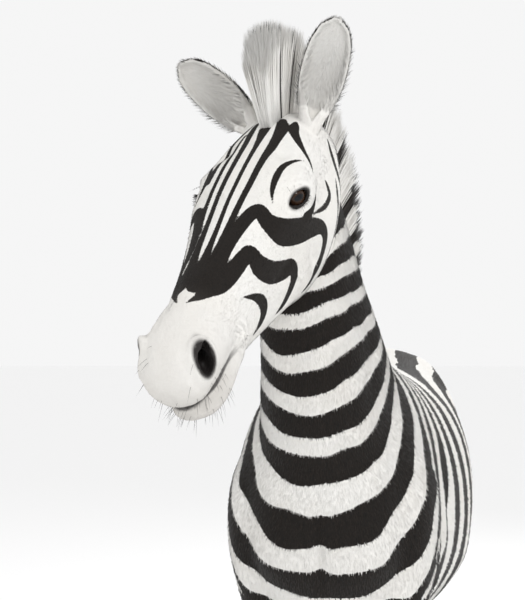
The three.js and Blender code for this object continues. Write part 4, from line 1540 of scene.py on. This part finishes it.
def blades(name, root, normal, way, length, width, lift, attributes, uv):
    """Flat closed tufts of four triangles each, which lie along the skin and lift at the tip."""
    count = len(root)
    side = np.cross(way, normal)
    tip = root + (way * np.cos(lift)[:, None] + normal * np.sin(lift)[:, None]) * length[:, None]
    foot = root - normal * 0.8
    left = foot + side * (width / 2)[:, None]
    right = foot - side * (width / 2)[:, None]
    under = foot - normal * (0.35 * width)[:, None] + way * (0.3 * width)[:, None]
    co = np.stack([left, right, under, tip], 1)
    faces = np.array([(1, 0, 3), (2, 1, 3), (0, 2, 3), (0, 1, 2)])
    faces = (faces[None] + 4 * np.arange(count)[:, None, None]).reshape(-1, 3)
    obj = mesh_object(name, metres(co.reshape(-1, 3)), faces)
    mesh = obj.data
    for key, values in attributes.items():
        set_attribute(mesh, key, np.repeat(values, 4))
    shaded = unit(normal + 0.14 * rng.normal(size=(count, 3)))
    tip_normal = unit(shaded + way * 0.25)
    normals = np.stack([shaded + side * 0.3, shaded - side * 0.3, shaded, tip_normal], 1).reshape(-1, 3)
    mesh.normals_split_custom_set_from_vertices(unit(normals).astype(np.float32))
    corner = np.array([(0, 0), (1, 0), (0.5, 0.2), (0.5, 1)]) - 0.5
    bake_map(mesh, np.repeat(uv, 4, axis=0) + np.tile(corner, (count, 1)) * PATCH)
    mesh.materials.append(TUFT_COAT)
    return obj


PATCH = 0.003


def bake_map(mesh, vertex_uv):
    """A UV map named OFBake, from a place for each vertex."""
    layer = mesh.uv_layers.new(name="OFBake")
    index = np.empty(len(mesh.loops), np.int32)
    mesh.loops.foreach_get("vertex_index", index)
    uv = np.clip(vertex_uv[index], 0.0005, 0.9995)
    layer.data.foreach_set("uv", uv.astype(np.float32).ravel())


skin_region = region_of(skin_co)
# About how long and how far round each region is, in metres, so that the hair's bump keeps one size.
REGION_SIZE = {"head": (0.65, 0.63), "neck": (0.9, 0.82), "torso": (1.5, 1.6), "leg": (3.6, 0.24),
               "dock": (0.62, 0.14), "ear": (0.35, 0.22)}
flow = np.zeros((len(skin_co), 3))
for region_name, region_size in REGION_SIZE.items():
    inside = skin_region == region_name
    flow[inside, :2] = unwrap(skin_co[inside], region_name) * region_size
flow_attribute = skin.data.attributes.new("flow", "FLOAT_VECTOR", "POINT")
flow_attribute.data.foreach_set("vector", flow.astype(np.float32).ravel())
FACE_REGION = skin_region[skin_faces[:, 0]]

# Name, region, number of tufts, their length and width in millimetres, and their lift in degrees.
COATS = [
    ("coat_head", "head", 48000, 6.5, 1.9, 7),
    ("coat_ears", "ear", 13000, 8.0, 1.2, 14),
    ("coat_neck", "neck", 45000, 11, 2.1, 10),
    ("coat_torso_left", "torso", 45000, 13.5, 3.0, 9),
    ("coat_torso_right", "torso", 45000, 13.5, 3.0, 9),
    ("coat_legs_front", "leg", 35000, 8.5, 2.4, 9),
    ("coat_legs_rear", "leg", 35000, 8.5, 2.4, 9),
    ("coat_dock", "dock", 5000, 13, 2.2, 12),
]
COAT_SHARE = 1.0
# The height of the top of the hooves, where the hair hangs over the edge, and of the longer hair above it.
CORONET_Z, FETLOCK_Z = 65, 142


def part_of(name, region, middles):
    """Which faces a piece of the coat covers."""
    x, y, _ = middles.T
    front = y < BETWEEN_LEGS_Y
    halves = {"left": x >= 0, "right": x < 0, "front": front, "rear": ~front}
    return (FACE_REGION == region) & halves.get(name.rsplit("_", 1)[1], True)


def shaped(region, root, normal, bare, size, wide, rise):
    """Lengths, widths and lifts of tufts, after what their place on the animal makes of them."""
    if region == "head":
        small = 1 - 0.55 * smooth_step(400, 500, to_head(root)[:, 0]) - 0.25 * bare
        for left in (1, -1):
            small -= 0.45 * bell(root, eye_front(left), (42, 42, 42))
        return size * np.maximum(small, 0.3), wide * np.maximum(small, 0.6), rise
    if region == "leg":
        small = 0.55 + 0.45 * smooth_step(250, 700, root[:, 2])
        size = size * small
        for leg in LEGS.values():
            long = bell(root, np.add((*leg_middle(leg, FETLOCK_Z), FETLOCK_Z), (0, 36, 0)), (30, 26, 42))
            size = size * (1 + 2.2 * long)
            rise = rise * (1 + 1.0 * long)
        coronet = np.exp(-((root[:, 2] - CORONET_Z) / 7) ** 2)
        size = size * (1 + 2.2 * coronet)
        return size, wide * (0.7 + 0.3 * small), rise + math.radians(20) * coronet
    if region == "ear":
        for ear in EARS:
            here = on_ear(root, ear)
            t, _, _ = ear_place(root[here], ear)
            in_cup = normal[here] @ ear_axes(ear)[2] > 0
            size[here] *= 1 + 1.2 * in_cup * smooth_step(0.9, 0.3, t)
            rise[here] *= 1 + 1.2 * in_cup
    return size, wide, rise


def build_coat(name, region, count, length, width, lift):
    """One piece of the coat: its tufts, as closed blades over its part of the skin."""
    middles = skin_co[skin_faces].mean(1)
    faces = skin_faces[part_of(name, region, middles)]
    centres = skin_co[faces].mean(1)
    weight = np.ones(len(faces))
    if region == "head":
        weight = 1 + 0.8 * smooth_step(380, 480, to_head(centres)[:, 0])
    if region == "leg":
        weight = 1 + 1.2 * smooth_step(600, 300, centres[:, 2])
    weight *= 1 - 0.98 * np.clip(1.6 * skin_bare[faces].max(1) - 0.3, 0, 1)
    face, corner, root, normal = spread_over(faces, weight, int(count * COAT_SHARE))
    bare = (corner * skin_bare[face]).sum(1)
    grey = (corner * skin_grey[face]).sum(1)
    keep = bare < 0.45
    root, normal, bare, grey = root[keep], normal[keep], bare[keep], grey[keep]
    n = len(root)
    way = unit(lie(root, normal, region) + 0.10 * rng.normal(size=(n, 3)))
    way = unit(way - normal * (way * normal).sum(1)[:, None])
    clump = ripple(root, 14, 41)
    size = np.full(n, float(length)) * rng.uniform(0.75, 1.15, n)
    wide = np.full(n, float(width)) * rng.uniform(0.8, 1.2, n)
    rise = np.radians(lift) * (1 + 0.25 * clump) * rng.uniform(0.7, 1.3, n)
    size, wide, rise = shaped(region, root, normal, bare, size, wide, rise)
    marks, _, _ = markings(root + way * (0.5 * size)[:, None], normal)
    tone = np.clip(0.5 + 0.22 * clump + 0.22 * rng.normal(size=n), 0, 1)
    attributes = {"mark": np.clip(marks * 3, -6, 6), "bare": np.clip(bare - 0.1, 0, 1), "grey": grey,
                  "tone": tone}
    piece = blades(name, root, normal, way, size, wide, rise, attributes, unwrap(root, region))
    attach(piece, ROOT)


for row in COATS:
    build_coat(*row)

# ---------------------------------------------------------------- mane and tail


def crest_rows():
    """Points of the crest from the forelock to the withers, with the ways up and left there."""
    rows = [
        np.concatenate([head_point(56, 0, 8), level_direction(0.30, 0, 0.95), HEAD_S]),
        np.concatenate([head_point(4, 0, 2), level_direction(0.10, 0, 0.99), HEAD_S]),
    ]
    for x, y, z, yaw, pitch, up, *_ in NECK[1:-1][::-1]:
        _, side, rise = axes_at(yaw, pitch)
        rows.append(np.concatenate([np.array([x, y, z]) + rise * up, rise, side]))
    return refine(rows, 120)


CREST = crest_rows()
CREST_AT = np.concatenate([[0], np.cumsum(np.linalg.norm(np.diff(CREST[:, :3], axis=0), axis=1))])
CREST_LENGTH = CREST_AT[-1]
CREST_AT /= CREST_LENGTH
# Shares of the crest's length where a narrow dark line stands in the white front of the mane.
MANE_LINES = (0.055, 0.10)


def crest_at(share):
    """The crest at shares of its length: points, the ways up and left, and the way back along it."""
    values = between(share, CREST_AT, CREST)
    back = between(share, CREST_AT, np.gradient(CREST[:, :3], axis=0))
    return values[:, :3], unit(values[:, 3:6]), unit(values[:, 6:]), unit(back)


def mane_height(share):
    """The mane's height at shares of the crest's length."""
    rise = 0.97 + 0.08 * np.minimum(share / 0.12, 1)
    return MANE_HEIGHT * rise * (1 - 0.62 * np.maximum((share - 0.35) / 0.65, 0) ** 1.6)


def strands(name, paths, widths, attributes, uv):
    """Closed three-sided hairs: paths is hairs x points x 3 in the frame, the last point the tip."""
    count, points, _ = paths.shape
    rings = points - 1
    way = unit(paths[:, -1] - paths[:, 0])
    side = unit(np.cross(way, unit(rng.normal(size=(count, 3)))))
    other = np.cross(way, side)
    turn = np.arange(3) * 2 * np.pi / 3
    spokes = side[:, None] * np.cos(turn)[None, :, None] + other[:, None] * np.sin(turn)[None, :, None]
    body = paths[:, :rings, None] + spokes[:, None] * widths[:, :rings, None, None] / 2
    co = np.concatenate([body.reshape(count, rings * 3, 3), paths[:, -1:]], 1)
    faces = []
    for r in range(rings - 1):
        for k in range(3):
            a, b = 3 * r + k, 3 * r + (k + 1) % 3
            faces += [(a, b, b + 3), (a, b + 3, a + 3)]
    last = 3 * (rings - 1)
    faces += [(last + k, last + (k + 1) % 3, 3 * rings) for k in range(3)] + [(2, 1, 0)]
    step = 3 * rings + 1
    faces = (np.array(faces)[None] + np.arange(count)[:, None, None] * step).reshape(-1, 3)
    obj = mesh_object(name, co.reshape(-1, 3), faces)
    for key, values in attributes.items():
        values = np.asarray(values, float)
        if values.ndim == 1:
            values = np.repeat(values[:, None], points, 1)
        spread = np.concatenate([np.repeat(values[:, :rings], 3, 1), values[:, -1:]], 1)
        set_attribute(obj.data, key, spread.ravel())
    # Each hair has a small patch of the map at its root's place, which runs up the hair.
    up = np.append(np.repeat(np.arange(rings), 3), rings) / rings - 0.5
    over = np.append(np.tile((-0.5, 0.0, 0.5), rings), 0)
    patch = np.stack([over, up], 1) * PATCH
    bake_map(obj.data, np.repeat(uv, step, axis=0) + np.tile(patch, (count, 1)))
    obj.data.materials.append(TUFT_COAT)
    return obj


def mane_bands(co, at, share):
    """The neck's bands go on up into the mane, much narrower."""
    bands = wavering(co, at, NECK_TABLE, 0.14 + 0.26 * smooth_step(0.2, 0.75, share))
    for line in MANE_LINES:
        bands = np.maximum(bands, 2.6 - np.abs(share - line) * CREST_LENGTH)
    return bands


MANE_HAIRS = 9400
MANE_HALF_WIDTH = 21


def mane_piece(name, low, high):
    """Stiff upright hairs along the crest between two shares of its length."""
    share = low + (high - low) * rng.random(MANE_HAIRS)
    out = rng.uniform(-1, 1, MANE_HAIRS)
    point, up, side, back = crest_at(share)
    spot = point + side * out[:, None] * 22
    clump = 0.5 * ripple(spot, 16, 21) + 0.5 * ripple(spot, 7, 22)
    lean = ripple(point, 60, 23)
    narrow = np.minimum(1, 0.55 + share * 4)
    fan = 0.05 * lean + 0.025 * clump + 0.02 * rng.normal(size=MANE_HAIRS)
    fan -= 0.10 * fade(0, 0.12, share)
    way = unit(up + side * (0.10 * out + 0.03 * clump)[:, None] + back * fan[:, None])
    fall = np.minimum(1, (share / 0.03) * 0.22 + 0.78)
    length = mane_height(share) * fall * (1 - 0.06 * out * out) * rng.uniform(0.90, 1.0, MANE_HAIRS)
    length *= 1 + 0.015 * clump
    length *= 1 - smooth_step(0.955, 1.0, share / MANE_END) * 0.5
    sunk = 16 + 6 * out * out
    root = point + side * (out * MANE_HALF_WIDTH * narrow * 0.9)[:, None] - way * sunk[:, None]
    bend = side * (0.04 * out)[:, None] + back * 0.05
    t = np.array([0, 0.38, 0.74, 1])
    reach = (length + sunk)[:, None, None] * t[None, :, None]
    paths = root[:, None] + way[:, None] * reach + bend[:, None] * reach * t[None, :, None] ** 2 * 0.8
    widths = np.array([2.6, 2.3, 1.7, 0])[None] * rng.uniform(0.75, 1.2, MANE_HAIRS)[:, None]
    at, _ = along_spine(point)
    band = mane_bands(point, at, share)
    front = fade(0.25, 0.6, share)[:, None]
    tips = (t[None] - 0.93) * 120 - 30 * front + 3 * rng.normal(size=(MANE_HAIRS, 1))
    mark = np.maximum(band[:, None] + 0 * t[None], tips)
    tone = np.clip(0.72 + 0.25 * clump + 0.18 * rng.normal(size=MANE_HAIRS), 0, 1)
    return strands(name, metres(paths), widths / 1000, {"mark": mark, "tone": tone},
                   np.stack([share, 0.5 + 0.48 * out], 1))


TAIL_HAIRS = 3600
TUFT_TOP, TUFT_LOW, TUFT_END = 905, 640, 470


def tail_tuft():
    """Long hair that hangs from the lower half of the dock."""
    share = rng.random(TAIL_HAIRS) ** 0.9
    turn = rng.uniform(0, 2 * np.pi, TAIL_HAIRS)
    height = TUFT_TOP + (TUFT_LOW - TUFT_TOP) * share
    rows = np.array(TAIL, float)[::-1]
    x, y, _, radius = between(height, rows[:, 2], rows).T
    centre = np.stack([x, y, height], 1)
    out = np.stack([np.cos(turn), np.sin(turn), 0 * turn], 1)
    clump = rng.integers(0, 40, TAIL_HAIRS)
    swing = rng.normal(size=(40, 3)) * (9, 9, 0)
    root = centre + out * (radius - 6)[:, None]
    end_z = TUFT_END + 14 + 150 * rng.random(TAIL_HAIRS) ** 2.2
    end_z = np.minimum(end_z, height - 60)
    spread = rng.uniform(2, 30, TAIL_HAIRS)[:, None] * ((end_z - TUFT_END) / 180 + 0.25)[:, None]
    tip = np.stack([10 + 0 * turn, 776 + 0 * turn, end_z], 1) + out * spread + swing[clump] * 0.8
    middle = (root + tip) / 2 + out * rng.uniform(8, 20, TAIL_HAIRS)[:, None] + swing[clump] * 0.3
    t = np.linspace(0, 1, 6)[None, :, None]
    paths = root[:, None] * (1 - t) ** 2 + 2 * middle[:, None] * t * (1 - t) + tip[:, None] * t * t
    widths = np.array([2.6, 2.6, 2.4, 2.1, 1.5, 0])[None] * rng.uniform(0.7, 1.2, TAIL_HAIRS)[:, None]
    white = rng.random(TAIL_HAIRS) < 0.25 * (height > 820)
    return strands("tail_tuft", metres(paths), widths / 1000,
                   {"mark": np.where(white, -6.0, 6.0), "tone": rng.random(TAIL_HAIRS)},
                   np.stack([share, turn / (2 * np.pi)], 1))


hair = [mane_piece("mane_front", 0.0, 0.42), mane_piece("mane_back", 0.42, MANE_END), tail_tuft()]
for piece in hair:
    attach(piece, ROOT)

# ---------------------------------------------------------------- eyes, lashes and whiskers


def ray_to_skin(start, way):
    """Where a ray from a point in the stations' millimetres meets the skin, and the normal there."""
    hit, normal, _, _ = skin_tree.ray_cast(Vector(start), Vector(unit(way)), 120)
    return (None, None) if hit is None else (np.array(hit), np.array(normal))


def eye_material():
    """A wet dark brown eye: a level pupil, near black with a faint painted blue reflection, a fibrous iris,
    its dark rim and the white round it.
    """
    make = Shading("eye")

    def length(a, b):
        return make.math("SQRT", make.math("ADD", make.math("MULTIPLY", a, a), make.math("MULTIPLY", b, b)))

    def soft(value, low, high):
        return make.ramp(value, low, high, kind="SMOOTHSTEP")

    u, v = make.stored("iris_u"), make.stored("iris_v")
    far = length(u, v)
    pupil = length(make.math("MULTIPLY", u, 1 / 0.40), make.math("MULTIPLY", v, 1 / 0.22))
    turn = make.math("MULTIPLY", make.math("ARCTAN2", v, u), 5.0)
    spoke = make.node("CombineXYZ", {"X": turn, "Y": make.math("MULTIPLY", far, 2.0)}).outputs[0]
    fibre = soft(make.noise(spoke, 5.0, 4), 0.35, 0.7)
    iris = make.mixed(fibre, (0.014, 0.0065, 0.0035, 1), (0.066, 0.030, 0.014, 1))
    iris = make.mixed(soft(far, 0.50, 0.70), iris, (0.010, 0.006, 0.004, 1))
    # The pupil's colour is near black with a faint blue tint, which is a painted reflection.
    colour = make.mixed(soft(pupil, 1.12, 0.92), iris, (0.003, 0.0035, 0.005, 1))
    vein = soft(make.noise(make.place(), 260, 5), 0.4, 0.65)
    white = make.mixed(vein, (0.22, 0.16, 0.13, 1), (0.07, 0.042, 0.032, 1))
    return make.shade({
        "Base Color": make.mixed(soft(far, 0.70, 0.80), colour, white),
        "Roughness": 0.22,
        "Specular IOR Level": 0.0,
        "Coat Weight": 0.8,
        "Coat IOR": 1.376,
        "Coat Roughness": 0.03,
    })


EYE_COAT = eye_material()


def build_eye(name, left):
    """An eyeball with a bulging cornea; its iris is drawn from two coordinates across the gaze."""
    gaze, corners, lids = eye_axes(left)
    around, down = 64, 48
    polar = np.linspace(0, np.pi, down + 1)[1:-1]
    turn = turns(around)
    radius = EYE_RADIUS - 0.35 + 1.5 * np.clip(1 - (polar / 0.72) ** 2, 0, 1) ** 1.5
    rings = [
        eye_centre(left) + gaze * r * math.cos(p)
        + r * math.sin(p) * (np.outer(np.cos(turn), corners) + np.outer(np.sin(turn), lids))
        for p, r in zip(polar, radius)
    ]
    points, faces = loft(rings)
    eye = mesh_object(name, metres(points), faces)
    offset = (points - eye_centre(left)) / EYE_RADIUS
    front = (offset @ gaze > 0)
    set_attribute(eye.data, "iris_u", np.where(front, offset @ corners, 2.0))
    set_attribute(eye.data, "iris_v", offset @ lids)
    eye.data.materials.append(EYE_COAT)
    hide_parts(name)
    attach(eye, ROOT)


# Lashes of an upper (1) and a lower (-1) lid: the lid's height, their length, lean and curl.
LASHES = {1: (14.2, 9.0, -0.05, 0.30), -1: (-11.4, 4.5, -0.3, -0.25)}


def lashes():
    """Lashes on both upper lids, and a few finer ones below."""
    paths = []
    for left in (1, -1):
        gaze, corners, lids = eye_axes(left)
        for share in np.linspace(-0.85, 0.9, 46):
            for upper in (1, 1, -1):
                if upper < 0 and rng.random() < 0.5:
                    continue
                lid, length, lean, curl = LASHES[upper]
                here = share + rng.normal() * 0.03
                arch = max(1 - here ** 2, 0) ** 0.5 * (1 - 0.25 * here ** 2)
                height = lid * arch + rng.normal() * 0.4
                start = eye_centre(left) + corners * here * 22.5 + lids * height + gaze * 60
                hit, normal = ray_to_skin(start, -gaze)
                if hit is None:
                    continue
                length *= (0.65 + 0.35 * arch) * rng.uniform(0.6, 1.1)
                way = unit(gaze * 0.9 + corners * here * 0.35 + lids * lean + rng.normal(size=3) * 0.12)
                t = np.linspace(0, 1, 5)[:, None]
                paths.append(hit - normal * 0.8 + way * length * t + lids * curl * length * t ** 2)
    return np.array(paths), np.tile([0.55, 0.5, 0.42, 0.3, 0], (len(paths), 1))


WHISKERS = 120


def whiskers():
    """Long thin hairs on the lips, the chin, round the nostrils and by the eyes."""
    centres = skin_co[skin_faces].mean(1)
    place = to_head(centres)
    weight = smooth_step(455, 510, place[:, 0]) * smooth_step(-80, -110, place[:, 2])
    weight += 0.25 * smooth_step(490, 530, place[:, 0]) * (np.abs(place[:, 1]) > 22)
    weight *= (FACE_REGION == "head") * (skin_normals[skin_faces[:, 0]] @ HEAD_F > -0.3)
    for left in (1, -1):
        _, corners, lids = eye_axes(left)
        for up, ahead in ((-27, 4), (26, -6)):
            weight += 2.0 * bell(centres, eye_front(left) + lids * up + corners * ahead, (12, 12, 12))
    chosen = np.nonzero(weight > 0.01)[0]
    _, _, root, normal = spread_over(skin_faces[chosen], weight[chosen], WHISKERS)
    way = unit(normal * 0.75 + HEAD_F * 0.5 - UP * 0.25 + rng.normal(size=root.shape) * 0.12)
    length = rng.uniform(9, 27, len(root))[:, None, None]
    t = np.linspace(0, 1, 5)[None, :, None]
    paths = root[:, None] - normal[:, None] * 1.0 + way[:, None] * length * t - UP * length * 0.25 * t ** 2
    return paths, np.tile([0.5, 0.45, 0.38, 0.25, 0], (len(root), 1))


for eye_name, eye_side in (("eye_left", 1), ("eye_right", -1)):
    build_eye(eye_name, eye_side)
fine_hairs = [lashes(), whiskers()]
fine_paths = np.concatenate([paths for paths, _ in fine_hairs])
fine_widths = np.concatenate([widths for _, widths in fine_hairs])
fine_hair = strands("lashes_whiskers", metres(fine_paths), fine_widths / 1000,
                    {"mark": np.full(len(fine_paths), 6.0), "tone": rng.random(len(fine_paths))},
                    unwrap(fine_paths[:, 0], "head"))
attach(fine_hair, ROOT)

# ---------------------------------------------------------------- hooves


def hoof_material():
    """Dark horn with streaks down it, growth rings and dust at the floor."""
    make = Shading("hoof")
    place = make.place()
    level = make.node("SeparateXYZ", {"Vector": place}).outputs["Z"]
    stretched = make.node("Mapping", {"Vector": place, "Scale": (1, 1, 0.12)}).outputs[0]
    streak = make.noise(stretched, 330, 4)
    broad = make.noise(place, 45, 3)
    rings = make.node("TexWave", {"Vector": place, "Scale": 60, "Distortion": 2.0, "Detail": 2},
                      bands_direction="Z").outputs["Fac"]
    colour = make.mixed(streak, (0.013, 0.0115, 0.0105, 1), (0.045, 0.039, 0.033, 1))
    colour = make.mixed(make.ramp(broad, 0.4, 0.75, 0, 0.5), colour, (0.070, 0.060, 0.050, 1))
    colour = make.mixed(make.ramp(level, 0.018, 0.0, 0, 0.55), colour, (0.17, 0.150, 0.125, 1))
    return make.shade({
        "Base Color": colour,
        "Roughness": make.ramp(broad, 0, 1, 0.42, 0.68),
        "Normal": make.bump(make.math("ADD", streak, rings), 0.4, 0.0007),
    })


HORN = hoof_material()


def build_hoof(name, leg):
    """A hoof with growth rings, a rounded coronet and a notch between its heels."""
    centre = np.array([leg["left"] * leg["rows"][-1][3], leg["sole"] + step_at(leg, 0), 0.0])
    rows = refine(HOOF[1:], 52)
    top = rows[0]
    coronet = [(top[0] + rise, top[1] + inset, top[2] - inset, top[3] - inset)
               for rise, inset in ((10, 9.5), (8.5, 6.5), (6, 3.6), (3, 1.4))]
    sole = [(0.9, *rows[-1][1:]), (0, rows[-1][1] + 1.2, rows[-1][2] - 1.2, rows[-1][3] - 1.2)]
    rows = [*coronet, *rows[:-1], *sole]
    rings = []
    for z, front, back, half in rows:
        reach = (back - front) / 2
        middle = centre + (0, (front + back) / 2, z)
        points = ring(middle, LEFT, AHEAD, reach, reach, half, HOOF_SQUARENESS, 0, 88)
        out = unit((points - centre) * (1, 1, 0))
        notch = np.exp(-((points[:, 0] - centre[0]) / 9) ** 2) * (out[:, 1] > 0.5)
        groove = 0.25 * math.sin(z * 2 * math.pi / 8.1) + 0.15 * math.sin(z * 2 * math.pi / 12.7 + 1)
        rings.append(points + out * (groove - 6.5 * notch - 0.2)[:, None])
    rings.append(centre + (rings[-1] - centre) * 0.86 + (0, 0, 3.0))
    points, faces = loft(rings)
    hoof = mesh_object(name, metres(points), faces)
    hoof.data.materials.append(HORN)
    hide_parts(name)
    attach(hoof, ROOT)


for leg_name, leg_rows in LEGS.items():
    build_hoof(f"hoof_{leg_name}", leg_rows)

# ---------------------------------------------------------------- floor, light and camera

VIEW_AZIMUTH = 10
VIEW_ELEVATION = -2
VIEW_DISTANCE = 1.9
VIEW_TARGET = (-0.058, -0.75, 1.372)
PIXELS_PER_METRE = 622
PICTURE = (525, 600)


def look_at(obj, target):
    obj.rotation_euler = (Vector(target) - obj.location).to_track_quat("-Z", "Y").to_euler()


def place_camera():
    data = bpy.data.cameras.new("camera")
    camera = linked("camera", data)
    turn, rise = math.radians(VIEW_AZIMUTH), math.radians(VIEW_ELEVATION)
    back = Vector((math.sin(turn) * math.cos(rise), -math.cos(turn) * math.cos(rise), math.sin(rise)))
    camera.location = Vector(VIEW_TARGET) + back * VIEW_DISTANCE
    look_at(camera, VIEW_TARGET)
    data.sensor_width = 36
    data.lens = PIXELS_PER_METRE * VIEW_DISTANCE / max(PICTURE) * data.sensor_width
    data.clip_end = 100
    bpy.context.scene.camera = camera


def area_light(name, place, target, size, power):
    data = bpy.data.lights.new(name, "AREA")
    data.shape = "DISK"
    data.size = size
    data.energy = power
    light = linked(name, data)
    light.location = place
    look_at(light, target)


def build_floor():
    """A plain pale floor."""
    mesh = bpy.data.meshes.new("floor")
    mesh.from_pydata([(60 * math.cos(t), 60 * math.sin(t), 0) for t in turns(96)], [], [list(range(96))])
    mesh.materials.append(Shading("floor").shade({"Base Color": (0.97, 0.97, 0.97, 1), "Roughness": 0.9}))
    floor = linked("floor", mesh)


def set_world():
    world = bpy.data.worlds.new("world")
    bpy.context.scene.world = world
    world.use_nodes = True
    background = world.node_tree.nodes["Background"]
    background.inputs["Color"].default_value = (1, 1, 1, 1)
    background.inputs["Strength"].default_value = 0.92


place_camera()
build_floor()
set_world()
bpy.context.scene.view_settings.view_transform = "Standard"
area_light("key", (2.6, -4.2, 3.6), (0, -0.6, 1.3), 1.3, 62)
area_light("fill", (-3.6, -3.4, 2.2), (0, -0.5, 1.2), 2.6, 6)
area_light("rim", (1.5, 3.6, 3.8), (0, 0, 1.2), 2.2, 60)

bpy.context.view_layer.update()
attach(skin, ROOT)
